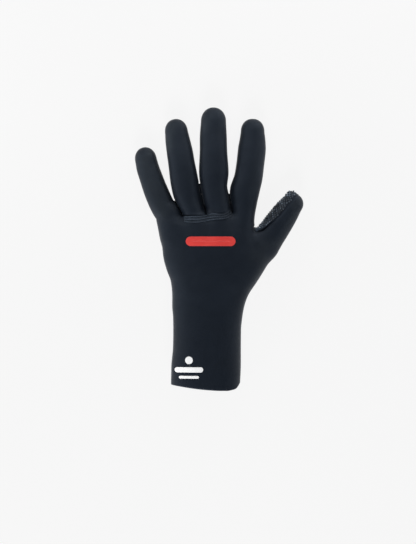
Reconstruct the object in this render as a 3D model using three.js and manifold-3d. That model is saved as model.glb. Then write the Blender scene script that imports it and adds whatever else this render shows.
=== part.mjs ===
// A left-hand five-finger wetsuit glove of 3 mm neoprene, lying on its palm with the back of the hand up.
// Fingers point along +Y, the thumb is on the +X side, +Z is up, and the glove rests on z = 0.
// Lengths are millimetres. The origin is the middle of the glove's outline on the surface that it rests on.
//
// The glove is a hollow hand form: a palm-and-cuff loft and five finger lofts are joined, the same
// form one wall thickness smaller is taken out, and the shell is cut along its seams into panels.

import * as THREE from "three";
import { mergeVertices } from "three/addons/utils/BufferGeometryUtils.js";
import Module from "manifold-3d";

const wasm = await Module();
wasm.setup();

// ---------------------------------------------------------------- driving dimensions

const WALL = 3.0; // neoprene sheet, with its nylon faces
const SEAM_GAP = 0.3; // between neighbouring panels
const FLOOR_SINK = 0.7; // how far the round underside is pressed flat where it rests
const AROUND_FINGER = 14; // facets round a finger
const AROUND_PALM = 28; // facets round the palm and cuff
const FILM_LIFT = 0.3; // gap under a printed mark or the stitched band
const FILM = 0.4; // thickness of a printed mark
const BAND = 0.9; // thickness of the stitched band
const REACH = 400; // larger than the glove, for cutting solids

// Palm and cuff, one row for each cross-section from the cuff up to the knuckles.
// y: place along the hand. left, right: edges seen from above. top: height of the back.
// power: 2 is an ellipse, more is boxier.
const PALM = [
  { y: -146.0, left: -45.6, right: 20.2, top: 43.5, power: 2.15 },
  { y: -128.4, left: -45.5, right: 20.1, top: 43.2, power: 2.15 },
  { y: -111.3, left: -45.2, right: 20.7, top: 42.8, power: 2.15 },
  { y: -94.2, left: -43.7, right: 20.8, top: 42.2, power: 2.15 },
  { y: -77.1, left: -43.4, right: 20.9, top: 41.6, power: 2.15 },
  { y: -65.7, left: -43.5, right: 22.0, top: 41.2, power: 2.2 },
  { y: -54.3, left: -44.3, right: 24.1, top: 41.0, power: 2.2 },
  { y: -42.9, left: -44.4, right: 28.2, top: 41.0, power: 2.25 },
  { y: -31.5, left: -45.6, right: 34.6, top: 40.8, power: 2.3 },
  { y: -20.1, left: -49.3, right: 39.0, top: 40.2, power: 2.3 },
  { y: -8.7, left: -52.2, right: 41.0, top: 39.4, power: 2.35 },
  { y: 2.7, left: -53.9, right: 39.6, top: 38.4, power: 2.4 },
  { y: 14.1, left: -56.6, right: 36.4, top: 36.8, power: 2.45 },
  { y: 25.0, left: -58.4, right: 34.2, top: 34.6, power: 2.5 },
  { y: 33.0, left: -58.8, right: 33.6, top: 32.4, power: 2.5 },
];
const KNUCKLE_CAP = 14; // the palm's rounded end between the finger roots

// Fingers, one row for each cross-section from the root to where the tip starts to round.
// x, y: the finger's middle seen from above. rise: height of its middle. half_w, half_h: half its width and height.
const LITTLE = [
  { x: -42.7, y: 13.0, rise: 17.5, half_w: 12.4, half_h: 11.8 },
  { x: -47.4, y: 32.6, rise: 17.0, half_w: 13.2, half_h: 11.4 },
  { x: -52.5, y: 40.2, rise: 16.7, half_w: 12.2, half_h: 11.0 },
  { x: -59.5, y: 54.0, rise: 15.6, half_w: 11.4, half_h: 10.4 },
  { x: -65.1, y: 69.2, rise: 12.8, half_w: 10.9, half_h: 9.9 },
  { x: -67.6, y: 76.6, rise: 11.0, half_w: 10.7, half_h: 9.8 },
  { x: -69.5, y: 84.8, rise: 9.2, half_w: 10.2, half_h: 9.6 },
];
const RING = [
  { x: -22.0, y: 13.1, rise: 18.8, half_w: 12.0, half_h: 12.6 },
  { x: -24.2, y: 33.1, rise: 18.8, half_w: 11.8, half_h: 12.4 },
  { x: -28.9, y: 46.4, rise: 18.6, half_w: 13.3, half_h: 12.0 },
  { x: -32.2, y: 61.6, rise: 18.2, half_w: 13.4, half_h: 11.4 },
  { x: -35.4, y: 80.6, rise: 16.6, half_w: 12.5, half_h: 10.8 },
  { x: -37.1, y: 92.0, rise: 14.2, half_w: 12.1, half_h: 10.5 },
  { x: -39.1, y: 103.4, rise: 11.2, half_w: 11.3, half_h: 10.2 },
  { x: -40.4, y: 111.2, rise: 9.5, half_w: 10.6, half_h: 10.0 },
];
const MIDDLE = [
  { x: 2.0, y: 13.1, rise: 19.2, half_w: 13.0, half_h: 12.8 },
  { x: 0.6, y: 34.0, rise: 19.2, half_w: 12.7, half_h: 12.5 },
  { x: -2.8, y: 46.4, rise: 19.0, half_w: 12.9, half_h: 12.1 },
  { x: -4.4, y: 58.0, rise: 18.8, half_w: 13.4, half_h: 11.8 },
  { x: -4.8, y: 73.0, rise: 18.2, half_w: 14.0, half_h: 11.4 },
  { x: -5.1, y: 92.0, rise: 16.0, half_w: 13.0, half_h: 10.9 },
  { x: -5.4, y: 107.0, rise: 12.6, half_w: 12.7, half_h: 10.5 },
  { x: -5.2, y: 121.0, rise: 9.7, half_w: 11.8, half_h: 10.2 },
];
const INDEX = [
  { x: 21.0, y: 12.0, rise: 18.6, half_w: 12.0, half_h: 12.6 },
  { x: 22.6, y: 30.0, rise: 18.6, half_w: 11.3, half_h: 12.4 },
  { x: 24.0, y: 42.0, rise: 18.5, half_w: 12.0, half_h: 12.1 },
  { x: 24.1, y: 54.0, rise: 18.3, half_w: 13.9, half_h: 11.8 },
  { x: 27.6, y: 67.0, rise: 17.4, half_w: 13.3, half_h: 11.3 },
  { x: 29.6, y: 80.6, rise: 15.6, half_w: 12.9, half_h: 10.9 },
  { x: 31.2, y: 95.0, rise: 12.8, half_w: 12.8, half_h: 10.5 },
  { x: 31.9, y: 103.4, rise: 11.0, half_w: 12.0, half_h: 10.3 },
  { x: 32.1, y: 111.0, rise: 9.6, half_w: 11.2, half_h: 10.1 },
];
const THUMB = [
  { x: 10.0, y: -31.0, rise: 19.5, half_w: 19.0, half_h: 17.5 },
  { x: 23.0, y: -16.0, rise: 19.0, half_w: 19.0, half_h: 17.0 },
  { x: 32.8, y: -3.4, rise: 18.2, half_w: 17.8, half_h: 16.0 },
  { x: 41.9, y: 5.2, rise: 17.0, half_w: 16.0, half_h: 14.6 },
  { x: 48.1, y: 13.3, rise: 16.0, half_w: 14.4, half_h: 13.4 },
  { x: 53.3, y: 20.2, rise: 15.2, half_w: 13.6, half_h: 12.7 },
  { x: 58.8, y: 28.0, rise: 14.4, half_w: 12.8, half_h: 12.1 },
  { x: 64.6, y: 35.7, rise: 13.4, half_w: 11.6, half_h: 11.3 },
  { x: 69.4, y: 43.0, rise: 12.4, half_w: 10.2, half_h: 10.6 },
];
// tip: length of the rounded end. tip_power: 2 is round, more is squarer. power: the cross-section's.
const FINGERS = {
  little: { rows: LITTLE, tip: 12.0, tip_power: 2.1, power: 2.2 },
  ring: { rows: RING, tip: 12.6, tip_power: 2.1, power: 2.2 },
  middle: { rows: MIDDLE, tip: 13.6, tip_power: 2.1, power: 2.2 },
  index: { rows: INDEX, tip: 12.8, tip_power: 2.2, power: 2.2 },
  thumb: { rows: THUMB, tip: 9.8, tip_power: 2.7, power: 2.3 },
};

// The cut end of the cuff seen from above, from the little-finger side to the thumb side.
const HEM = [
  { x: -60, y: -126.6 },
  { x: -45.5, y: -128.9 },
  { x: -36.3, y: -130.5 },
  { x: -23.3, y: -132.6 },
  { x: -8.0, y: -134.2 },
  { x: 3.0, y: -134.7 },
  { x: 12.0, y: -133.8 },
  { x: 17.6, y: -131.4 },
  { x: 20.6, y: -127.0 },
  { x: 40, y: -120.0 },
];

// The two finger-back panels seen from above: the knuckle seam, then round each finger.
const RING_ZONE = [
  [-33.3, 31.6], [-20.5, 30.6], [-11.6, 32.2], [-13.6, 41.0], [-17.4, 61.4], [-18.2, 76.0], [-24.0, 135.0],
  [-56.0, 135.0], [-42.2, 44.6],
];
const MIDDLE_ZONE = [
  [-11.6, 32.2], [0.0, 33.4], [12.9, 35.4], [13.4, 41.0], [11.4, 53.2], [13.2, 80.0], [18.0, 140.0],
  [-22.0, 140.0], [-18.2, 76.0], [-17.4, 61.4], [-13.6, 41.0],
];
// The thumb beyond its base seam, seen from above.
const THUMB_ZONE = [
  [35.2, 17.4], [44.0, 7.0], [62.0, -13.0], [110.0, -13.0], [110.0, 80.0], [56.0, 80.0], [40.0, 33.0], [36.2, 22.0],
];
// The thumb's front panel is on the low side of a slanted plane along the thumb.
const THUMB_PLANE = { x: 57.4, y: 30.2, z: 19.7, along: [0.597, 0.802], tilt_deg: 24 };

// Stitched band over the knuckle seam, seen from above.
const BAND_ZONE = [
  [-33.4, 32.2], [-22.0, 31.6], [-12.6, 32.4], [-9.6, 35.2], [2.0, 35.6], [8.6, 36.2], [12.0, 38.6], [13.4, 35.6],
  [11.0, 31.4], [4.0, 28.6], [-8.0, 27.8], [-20.0, 25.9], [-31.6, 25.6],
];

// Printed marks, seen from above: plain shapes.
const BACK_MARK = { x: -7.9, y: 7.0, length: 47.0, width: 9.0 };
const CUFF_MARK = {
  disc: { x: -28.4, y: -105.4, radius: 3.6 },
  bar: { x: -28.4, y: -114.4, length: 27.0, width: 5.0 },
  line: { x: -28.4, y: -121.4, length: 19.0, width: 2.6 },
};

// ---------------------------------------------------------------- shapes

const solid = (geometry) => {
  geometry.deleteAttribute("normal");
  geometry.deleteAttribute("uv");
  const g = mergeVertices(geometry, 1e-4);
  return new wasm.Manifold(
    new wasm.Mesh({
      numProp: 3,
      vertProperties: new Float32Array(g.attributes.position.array),
      triVerts: new Uint32Array(g.index.array),
    }),
  );
};

const geometryOf = (manifold) => {
  const mesh = manifold.getMesh();
  const n = mesh.numProp;
  const points = new Float32Array(mesh.numVert * 3);
  for (let i = 0; i < mesh.numVert; i++)
    points.set(mesh.vertProperties.subarray(i * n, i * n + 3), i * 3);
  const g = new THREE.BufferGeometry();
  g.setAttribute("position", new THREE.BufferAttribute(points, 3));
  g.setIndex(new THREE.BufferAttribute(new Uint32Array(mesh.triVerts), 1));
  g.computeVertexNormals();
  return g;
};

// A closed surface through rings of equal length, from the first ring's end to the last ring's.
const loft = (rings) => {
  const n = rings[0].length;
  const points = rings.flat();
  const middle = (ring) =>
    ring.reduce((a, p) => a.add(p), new THREE.Vector3()).divideScalar(n);
  points.push(middle(rings[0]), middle(rings[rings.length - 1]));
  const first = points.length - 2;
  const last = points.length - 1;
  const faces = [];
  for (let r = 0; r < rings.length - 1; r++)
    for (let i = 0; i < n; i++) {
      const a = r * n + i;
      const b = r * n + ((i + 1) % n);
      faces.push(a, b, b + n, a, b + n, a + n);
    }
  const top = (rings.length - 1) * n;
  for (let i = 0; i < n; i++) {
    faces.push(first, (i + 1) % n, i);
    faces.push(last, top + i, top + ((i + 1) % n));
  }
  const g = new THREE.BufferGeometry().setFromPoints(points);
  g.setIndex(faces);
  let made = solid(g);
  if (made.volume() < 0) {
    for (let i = 0; i < faces.length; i += 3)
      [faces[i + 1], faces[i + 2]] = [faces[i + 2], faces[i + 1]];
    g.setIndex(faces);
    made = solid(g);
  }
  return made;
};

const bulge = (c, power) => Math.sign(c) * Math.abs(c) ** (2 / power);

// One ring: an ellipse-like section about a centre, across a level direction and straight up.
const ring = (centre, across, halfW, halfH, power, count) =>
  Array.from({ length: count }, (_, i) => {
    const a = (i / count) * Math.PI * 2;
    return centre
      .clone()
      .addScaledVector(across, halfW * bulge(Math.cos(a), power))
      .add(new THREE.Vector3(0, 0, halfH * bulge(Math.sin(a), power)));
  });

// A finger as a loft, grown outwards by grow (negative for the hollow).
const finger = ({ rows, tip, tip_power, power }, grow, steps = 8, tipSteps = 4) => {
  const line = new THREE.CatmullRomCurve3(
    rows.map((r) => new THREE.Vector3(r.x, r.y, r.rise)),
    false,
    "centripetal",
  );
  const size = new THREE.CatmullRomCurve3(
    rows.map((r) => new THREE.Vector3(r.half_w, r.half_h, 0)),
    false,
    "catmullrom",
    0.5,
  );
  const rings = [];
  const across = (t) => {
    const d = line.getTangent(t);
    return new THREE.Vector3(d.y, -d.x, 0).normalize();
  };
  for (let i = 0; i <= steps; i++) {
    const t = i / steps;
    const s = size.getPoint(t);
    rings.push(
      ring(line.getPoint(t), across(t), s.x + grow, s.y + grow, power, AROUND_FINGER),
    );
  }
  const s = size.getPoint(1);
  const end = line.getPoint(1);
  const ahead = line.getTangent(1).setZ(0).normalize();
  for (let i = 1; i <= tipSteps; i++) {
    const a = (i / (tipSteps + 0.35)) * (Math.PI / 2);
    const out = (tip + grow) * bulge(Math.sin(a), tip_power);
    const k = bulge(Math.cos(a), tip_power);
    rings.push(
      ring(
        end.clone().addScaledVector(ahead, out),
        across(1),
        (s.x + grow) * k,
        (s.y + grow) * k,
        power,
        AROUND_FINGER,
      ),
    );
  }
  return loft(rings);
};

// The palm and cuff as a loft.
const palm = (grow) => {
  const across = new THREE.Vector3(1, 0, 0);
  const section = (r, k = 1, y = r.y) => {
    const halfW = (r.right - r.left) / 2 + grow;
    const halfH = (r.top + FLOOR_SINK) / 2 + grow;
    return ring(
      new THREE.Vector3((r.left + r.right) / 2, y, (r.top - FLOOR_SINK) / 2),
      across,
      halfW * (0.62 + 0.38 * k),
      halfH * k,
      r.power,
      AROUND_PALM,
    );
  };
  const rings = PALM.map((r, i) => section(r, 1, i ? r.y : r.y - grow * 0.5));
  const end = PALM[PALM.length - 1];
  for (const a of [30, 55, 75]) {
    const t = (a / 180) * Math.PI;
    rings.push(section(end, Math.cos(t), end.y + (KNUCKLE_CAP + grow) * Math.sin(t)));
  }
  return loft(rings.map((r) => r.slice()));
};

// The whole hand form.
const hand = (grow) =>
  Object.values(FINGERS).reduce((all, f) => all.add(finger(f, grow)), palm(grow));

// A tall prism over an outline seen from above, from low to high.
const prism = (outline, low = -REACH / 2, high = REACH / 2) => {
  const shape = new THREE.Shape(
    outline.map((p) => (Array.isArray(p) ? new THREE.Vector2(...p) : new THREE.Vector2(p.x, p.y))),
  );
  return solid(
    new THREE.ExtrudeGeometry(shape, { depth: high - low, bevelEnabled: false, curveSegments: 10 }).translate(0, 0, low),
  );
};

// The same outline moved outwards by d.
const spread = (outline, d) => {
  const p = outline.map((q) => new THREE.Vector2(q[0], q[1]));
  const turn = Math.sign(THREE.ShapeUtils.area(p)) || 1;
  return p.map((here, i) => {
    const a = p[(i + p.length - 1) % p.length];
    const b = p[(i + 1) % p.length];
    const n1 = here.clone().sub(a).normalize();
    const n2 = b.clone().sub(here).normalize();
    const m = new THREE.Vector2(n1.y + n2.y, -n1.x - n2.x);
    m.multiplyScalar((turn * d * 2) / Math.max(m.lengthSq(), 0.5));
    return [here.x + m.x, here.y + m.y];
  });
};

// Height of the side seam: the middle of the nearest finger, or of the palm.
const seamHeight = (x, y) => {
  let near = { d: 1e9, z: 0 };
  for (const [name, f] of Object.entries(FINGERS)) {
    if (name === "thumb") continue;
    for (let i = 0; i < f.rows.length - 1; i++) {
      const a = f.rows[i];
      const b = f.rows[i + 1];
      const dx = b.x - a.x;
      const dy = b.y - a.y;
      const t = THREE.MathUtils.clamp(
        ((x - a.x) * dx + (y - a.y) * dy) / (dx * dx + dy * dy),
        0,
        1,
      );
      const d = Math.hypot(x - a.x - t * dx, y - a.y - t * dy);
      if (d < near.d) near = { d, z: a.rise + t * (b.rise - a.rise) };
    }
  }
  const onPalm = 17.4 + 1.6 * THREE.MathUtils.smoothstep(-y, 0, 90);
  const k = THREE.MathUtils.smoothstep(y, 8, 34);
  return onPalm + (near.z - onPalm) * k;
};

// Everything below the side seam, raised by d: a box whose top face follows the seam.
const underSeam = (d) => {
  const box = new THREE.BoxGeometry(220, 340, 100, 20, 28, 1);
  const at = box.getAttribute("position");
  for (let i = 0; i < at.count; i++)
    if (at.getZ(i) > 0) at.setZ(i, seamHeight(at.getX(i), at.getY(i)) + d);
  return solid(box);
};

// Everything on the low side of the thumb's slanted plane, moved by d towards the high side.
const thumbFrontSide = (d) => {
  const { x, y, z, along, tilt_deg } = THUMB_PLANE;
  const tilt = (tilt_deg / 180) * Math.PI;
  const forward = new THREE.Vector3(along[0], along[1], 0).normalize();
  const right = new THREE.Vector3(forward.y, -forward.x, 0);
  const normal = right
    .clone()
    .multiplyScalar(Math.cos(tilt))
    .add(new THREE.Vector3(0, 0, Math.sin(tilt)));
  const side = new THREE.Vector3().crossVectors(forward, normal);
  const turn = new THREE.Matrix4().makeBasis(side, forward, normal);
  const box = new THREE.BoxGeometry(REACH, REACH, REACH).translate(0, 0, -REACH / 2 + d);
  return solid(box.applyMatrix4(turn).translate(x, y, z));
};

// A bar with round ends, or a disc, as an outline seen from above.
const barShape = ({ x, y, length, width }) => {
  const r = width / 2;
  const half = length / 2 - r;
  const s = new THREE.Shape();
  s.absarc(x + half, y, r, -Math.PI / 2, Math.PI / 2, false);
  s.absarc(x - half, y, r, Math.PI / 2, (Math.PI * 3) / 2, false);
  return s.getPoints(8);
};
const discShape = ({ x, y, radius }) => new THREE.Shape().absarc(x, y, radius, 0, Math.PI * 2, false).getPoints(10).slice(0, -1);

// ---------------------------------------------------------------- the glove

const below = (points, depth) => points.concat([[60, -depth], [-80, -depth]]);
const hemCurve = new THREE.SplineCurve(HEM.map((p) => new THREE.Vector2(p.x, p.y))).getPoints(36).map((p) => [p.x, p.y]);
const pastHem = prism(below(hemCurve, 190));
const floor = solid(new THREE.BoxGeometry(REACH, REACH, 100).translate(0, 0, -50));

const outer = hand(0);
const shell = outer.subtract(hand(-WALL)).subtract(pastHem).subtract(floor);

const lower = underSeam(-SEAM_GAP / 2);
const upper = solid(new THREE.BoxGeometry(REACH, REACH, REACH)).subtract(underSeam(SEAM_GAP / 2));
const ringBack = shell.intersect(upper).intersect(prism(RING_ZONE));
const middleBack = shell.intersect(upper).intersect(prism(spread(MIDDLE_ZONE, 0))).subtract(prism(spread(RING_ZONE, SEAM_GAP)));
const fingerBacks = prism(spread(RING_ZONE, SEAM_GAP)).add(prism(spread(MIDDLE_ZONE, SEAM_GAP)));
const thumbZone = prism(THUMB_ZONE);
const thumbFront = shell.intersect(thumbZone).intersect(thumbFrontSide(0));
const thumbFrontRoom = prism(spread(THUMB_ZONE, SEAM_GAP)).intersect(thumbFrontSide(SEAM_GAP));

const back = shell
  .intersect(upper.add(thumbZone))
  .subtract(fingerBacks.intersect(prism([[-90, 20], [90, 20], [90, 160], [-90, 160]])))
  .subtract(thumbFrontRoom);
const palmPanel = shell.intersect(lower).subtract(prism(spread(THUMB_ZONE, SEAM_GAP)));

const largest = (m) => m.decompose().sort((a, b) => b.volume() - a.volume())[0];

// Thin pieces that follow the back of the glove.
const skin = (low, high, shape, from = 12) =>
  hand(high).subtract(hand(low)).intersect(prism(shape, from, 120)).subtract(pastHem);
const band = skin(FILM_LIFT, FILM_LIFT + BAND, BAND_ZONE, 20);
const backMark = skin(FILM_LIFT, FILM_LIFT + FILM, barShape(BACK_MARK), 22);
const cuffDisc = skin(FILM_LIFT, FILM_LIFT + FILM, discShape(CUFF_MARK.disc), 22);
const cuffBar = skin(FILM_LIFT, FILM_LIFT + FILM, barShape(CUFF_MARK.bar), 22);
const cuffLine = skin(FILM_LIFT, FILM_LIFT + FILM, barShape(CUFF_MARK.line), 22);

const nylon = new THREE.MeshStandardMaterial({ color: 0x1c2129, roughness: 0.85, metalness: 0 });
const grip = new THREE.MeshStandardMaterial({ color: 0x2c2f35, roughness: 0.6, metalness: 0 });
const thread = new THREE.MeshStandardMaterial({ color: 0x3a4149, roughness: 0.6, metalness: 0 });
const redFilm = new THREE.MeshStandardMaterial({ color: 0xdc403c, roughness: 0.5, metalness: 0 });
const whiteFilm = new THREE.MeshStandardMaterial({ color: 0xf4f4f4, roughness: 0.5, metalness: 0 });

const glove = new THREE.Group();
const place = (name, made, material) => {
  const mesh = new THREE.Mesh(geometryOf(largest(made)), material);
  mesh.name = name;
  glove.add(mesh);
};
place("back_panel", back, nylon);
place("palm_panel", palmPanel, grip);
place("ring_finger_back", ringBack, nylon);
place("middle_finger_back", middleBack, nylon);
place("thumb_front", thumbFront, grip);
place("knuckle_seam_band", band, thread);
place("back_mark", backMark, redFilm);
place("cuff_mark_disc", cuffDisc, whiteFilm);
place("cuff_mark_bar", cuffBar, whiteFilm);
place("cuff_mark_line", cuffLine, whiteFilm);

export default glove;
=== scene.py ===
# The looks of a left-hand five-finger wetsuit glove: neoprene panels with a real wall, rolled seams with blind
# stitches, the stitched knuckle band, the raised grip print of the palm side, and the printed films.
# Lengths in the tables are millimetres in the model's frame: +Y to the fingertips, +X to the thumb, +Z up.

import math

import bpy
import numpy as np
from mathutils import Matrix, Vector, kdtree


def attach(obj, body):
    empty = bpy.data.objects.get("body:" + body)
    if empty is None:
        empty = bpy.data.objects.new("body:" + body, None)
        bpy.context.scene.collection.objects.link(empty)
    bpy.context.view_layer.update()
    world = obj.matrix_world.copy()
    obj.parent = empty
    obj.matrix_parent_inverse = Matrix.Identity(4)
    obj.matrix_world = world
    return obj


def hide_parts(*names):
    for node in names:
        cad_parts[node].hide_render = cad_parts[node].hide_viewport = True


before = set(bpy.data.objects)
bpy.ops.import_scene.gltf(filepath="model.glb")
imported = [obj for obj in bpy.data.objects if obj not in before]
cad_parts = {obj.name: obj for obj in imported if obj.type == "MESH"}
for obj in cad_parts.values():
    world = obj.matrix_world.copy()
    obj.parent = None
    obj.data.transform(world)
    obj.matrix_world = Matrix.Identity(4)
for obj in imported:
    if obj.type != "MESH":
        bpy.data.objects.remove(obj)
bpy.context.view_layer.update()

# ------------------------------------------------------------------ sizes

WALL = 2.9  # neoprene sheet with its two nylon faces
SINK = 0.7  # how far the round underside is pressed flat
CELL = 1.0  # size of the surface's faces
GROOVE = 0.60  # depth of the seam's groove
GROOVE_WIDTH = 0.85
SHOULDER = 0.14  # swelling beside a seam
SEAM_DROP = 1.8  # the side seams lie this far under the widest line, out of sight from above
SEAM_GAP = 0.14  # each panel's edge stays this far from the seam's middle
STITCH_PITCH = 3.0
GRIP_PITCH = 2.35

# Palm and cuff. y: place along the hand. left, right: edges from above. top: height of the back. power: boxiness.
PALM = np.array([
    # y, left, right, top, power
    (-160.0, -45.6, 20.2, 43.6, 2.15),
    (-146.0, -45.6, 20.2, 43.5, 2.15),
    (-128.4, -45.5, 20.1, 43.2, 2.15),
    (-111.3, -45.2, 20.7, 42.8, 2.15),
    (-94.2, -43.7, 20.8, 42.2, 2.15),
    (-77.1, -43.4, 20.9, 41.6, 2.15),
    (-65.7, -43.5, 22.0, 41.2, 2.2),
    (-54.3, -44.3, 24.1, 41.0, 2.2),
    (-42.9, -44.4, 28.2, 41.0, 2.25),
    (-31.5, -45.6, 34.6, 40.8, 2.3),
    (-20.1, -49.6, 39.0, 40.2, 2.3),
    (-8.7, -52.6, 41.0, 39.4, 2.35),
    (2.7, -53.9, 39.6, 38.1, 2.4),
    (14.1, -55.6, 35.4, 36.0, 2.45),
    (22.0, -56.4, 32.4, 34.2, 2.5),
    (26.0, -56.6, 31.8, 33.3, 2.5),
])
KNUCKLE_CAP = 14.0  # length of its round end, which starts at this line (x, y)
KNUCKLE_LINE = np.array([(-70.0, 25.0), (-54.0, 25.0), (-46.0, 23.5), (-39.0, 21.5), (-33.0, 21.0), (-24.0, 22.0),
                         (-11.0, 22.5), (2.0, 24.0), (13.0, 24.5), (24.0, 23.0), (40.0, 22.0)])

# Fingers: x, y and height of the middle, half the width, half the height.
LITTLE = np.array([
    (-42.7, 13.0, 18.0, 12.4, 13.0), (-47.4, 32.6, 17.3, 13.2, 12.2), (-53.0, 40.0, 16.8, 11.7, 11.4),
    (-59.5, 54.0, 15.6, 11.4, 10.4), (-65.1, 69.2, 12.8, 10.9, 9.9), (-67.6, 76.6, 11.0, 10.7, 9.8),
    (-69.5, 84.8, 9.2, 10.2, 9.6),
])
RING = np.array([
    (-22.0, 13.1, 19.2, 12.0, 13.4), (-24.2, 33.1, 19.0, 11.8, 13.0), (-28.6, 46.4, 18.6, 13.0, 12.0),
    (-32.22, 61.6, 18.2, 13.27, 11.4), (-35.5, 80.6, 16.6, 12.5, 10.8), (-37.3, 92.0, 14.2, 12.3, 10.5),
    (-39.3, 103.4, 11.2, 11.6, 10.2), (-40.4, 111.2, 9.5, 10.8, 10.0),
])
MIDDLE = np.array([
    (2.0, 13.1, 19.5, 13.0, 13.4), (0.6, 34.0, 19.4, 12.7, 12.9), (-2.5, 46.4, 19.0, 13.2, 12.1),
    (-4.8, 58.0, 18.8, 12.95, 11.8), (-4.8, 73.0, 18.2, 14.0, 11.4), (-5.1, 92.0, 16.0, 13.0, 10.9),
    (-5.4, 107.0, 12.6, 12.7, 10.5), (-5.2, 121.0, 9.7, 11.8, 10.2),
])
INDEX = np.array([
    (21.0, 12.0, 19.0, 12.0, 13.3), (22.6, 30.0, 18.8, 11.3, 12.9), (23.1, 42.0, 18.5, 12.7, 12.1),
    (24.1, 54.0, 18.3, 14.1, 11.8), (27.7, 67.0, 17.4, 13.4, 11.3), (29.7, 80.6, 15.6, 13.1, 10.9),
    (31.4, 95.0, 12.8, 13.1, 10.5), (32.0, 103.4, 11.0, 12.2, 10.3), (32.1, 111.0, 9.6, 11.2, 10.1),
])
THUMB = np.array([
    (10.0, -31.0, 19.5, 19.0, 17.5), (23.0, -16.0, 19.0, 19.0, 17.0), (32.8, -3.4, 18.2, 17.8, 16.0),
    (42.2, 5.0, 17.0, 16.4, 14.6), (48.9, 12.7, 16.0, 14.15, 13.4), (53.8, 19.85, 15.2, 13.6, 12.7),
    (59.25, 27.6, 14.4, 12.85, 12.1), (64.7, 35.55, 13.4, 11.95, 11.3), (69.9, 42.7, 12.4, 10.4, 10.6),
])
# Tip length, tip power and section power of each.
TUBES = {
    "little": (LITTLE, 12.0, 2.1, 2.2),
    "ring": (RING, 12.6, 2.1, 2.2),
    "middle": (MIDDLE, 13.6, 2.1, 2.2),
    "index": (INDEX, 12.8, 2.2, 2.2),
    "thumb": (THUMB, 10.5, 2.5, 2.3),
}
# The thumb's seam on its back, seen from above.
THUMB_SEAM = np.array([(35.6, 17.2), (39.9, 18.5), (43.2, 20.5), (45.8, 22.9), (48.8, 25.3), (51.9, 27.8), (55.1, 30.3),
                       (57.7, 32.7), (60.2, 35.5), (62.7, 38.4), (65.0, 41.3), (67.5, 44.3), (70.4, 47.4)])

HEM = np.array([
    (-60, -126.6), (-45.5, -128.9), (-36.3, -130.4), (-23.3, -132.3), (-8.0, -133.8), (3.0, -134.3),
    (12.0, -133.8), (17.6, -131.4), (20.6, -127.0), (40, -120.0),
])
KNUCKLE_SEAM = np.array([(-60, 31.6), (-33.3, 31.2), (-20.5, 30.0), (-11.6, 31.4), (0.0, 32.2), (12.9, 34.0), (40, 36.0)])

# The three thread ridges of the knuckle band, seen from above.
RIDGES = [
    [(-32.4, 30.0), (-25.6, 30.2), (-19.0, 30.3), (-14.2, 30.5), (-11.2, 31.2), (-8.6, 32.3), (-5.2, 32.9), (-1.5, 32.6),
     (4.1, 32.5), (7.4, 34.0), (10.1, 36.4)],
    [(-32.7, 27.7), (-25.6, 27.8), (-18.0, 27.9), (-12.5, 28.7), (-7.6, 29.9), (-2.0, 30.2), (4.1, 30.3), (8.1, 31.8),
     (11.6, 34.4)],
    [(-32.3, 25.4), (-27.5, 25.1), (-20.8, 25.0), (-14.2, 25.8), (-7.6, 27.2), (-2.0, 27.9), (4.1, 28.3), (8.9, 29.9),
     (12.5, 32.4)],
]

BACK_MARK = (-7.9, 7.0, 47.0, 9.0)  # x, y, length, width
CUFF_BAR = (-28.4, -114.4, 27.0, 5.0)
CUFF_LINE = (-28.4, -121.4, 19.0, 2.6)
CUFF_DISC = (-28.4, -105.4, 7.2, 7.2)

# Soft folds: a ridge or dent along a line from above. x0, y0, x1, y1, half width, height
FOLDS = [
    (35.4, 11.0, 40.5, 0.0, 3.2, 0.24),
    (43.0, 14.5, 46.0, 1.0, 3.6, -0.40),
    (-31.0, 21.5, -40.0, 46.0, 5.4, -0.75),
    (-16.4, 32.0, -21.4, 62.0, 5.8, -1.35),
    (14.5, 27.0, 12.4, 60.0, 8.0, -1.45),
    (30.0, 12.0, 34.5, -2.0, 3.0, -0.30),
    (44.0, -2.0, 52.0, -2.5, 3.5, 0.30),
    (-50.0, 18.0, -43.0, 8.0, 4.0, -0.25),
    (-46.0, -46.0, -20.0, -52.0, 5.0, -0.22),
    (20.0, -52.0, 2.0, -58.0, 5.0, -0.20),
    (-12.0, 72.0, 3.0, 73.5, 5.0, 0.22),
    (-40.0, 64.0, -26.0, 62.0, 5.0, 0.20),
    (16.0, 60.0, 34.0, 64.0, 5.0, 0.22),
    (-68.0, 56.0, -54.0, 53.0, 4.5, 0.18),
]

# Painted light: strokes where the jersey is made a little paler where light falls. x0, y0, x1, y1, half width, how much
PAINTED_LIGHT_STROKES = [
    (-53.0, 34.0, -67.5, 74.0, 7.5, 0.72),
    (-71.0, 84.0, -66.0, 90.0, 6.0, 0.75),
    (-47.0, 98.0, -44.5, 117.5, 4.5, 0.62),
    (-59.5, 79.0, -46.5, 50.0, 2.4, 0.50),
    (-45.5, 64.0, -41.5, 38.0, 2.4, 0.45),
    (-17.3, 109.0, -18.3, 76.0, 2.2, 0.50),
    (19.8, 104.0, 15.4, 70.0, 2.2, 0.35),
    (-14.0, 114.0, -11.0, 128.0, 4.5, 0.45),
    (31.0, 54.0, 40.0, 100.0, 4.0, 0.22),
    (36.0, -6.0, 47.0, 3.0, 8.0, 0.55),
    (30.5, -38.0, 45.0, -10.0, 4.0, 0.85),
    (56.0, 4.0, 73.0, 33.0, 3.6, 0.75),
    (72.0, 42.0, 78.0, 46.0, 5.5, 0.80),
]

# ------------------------------------------------------------------ the form as a field


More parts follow.
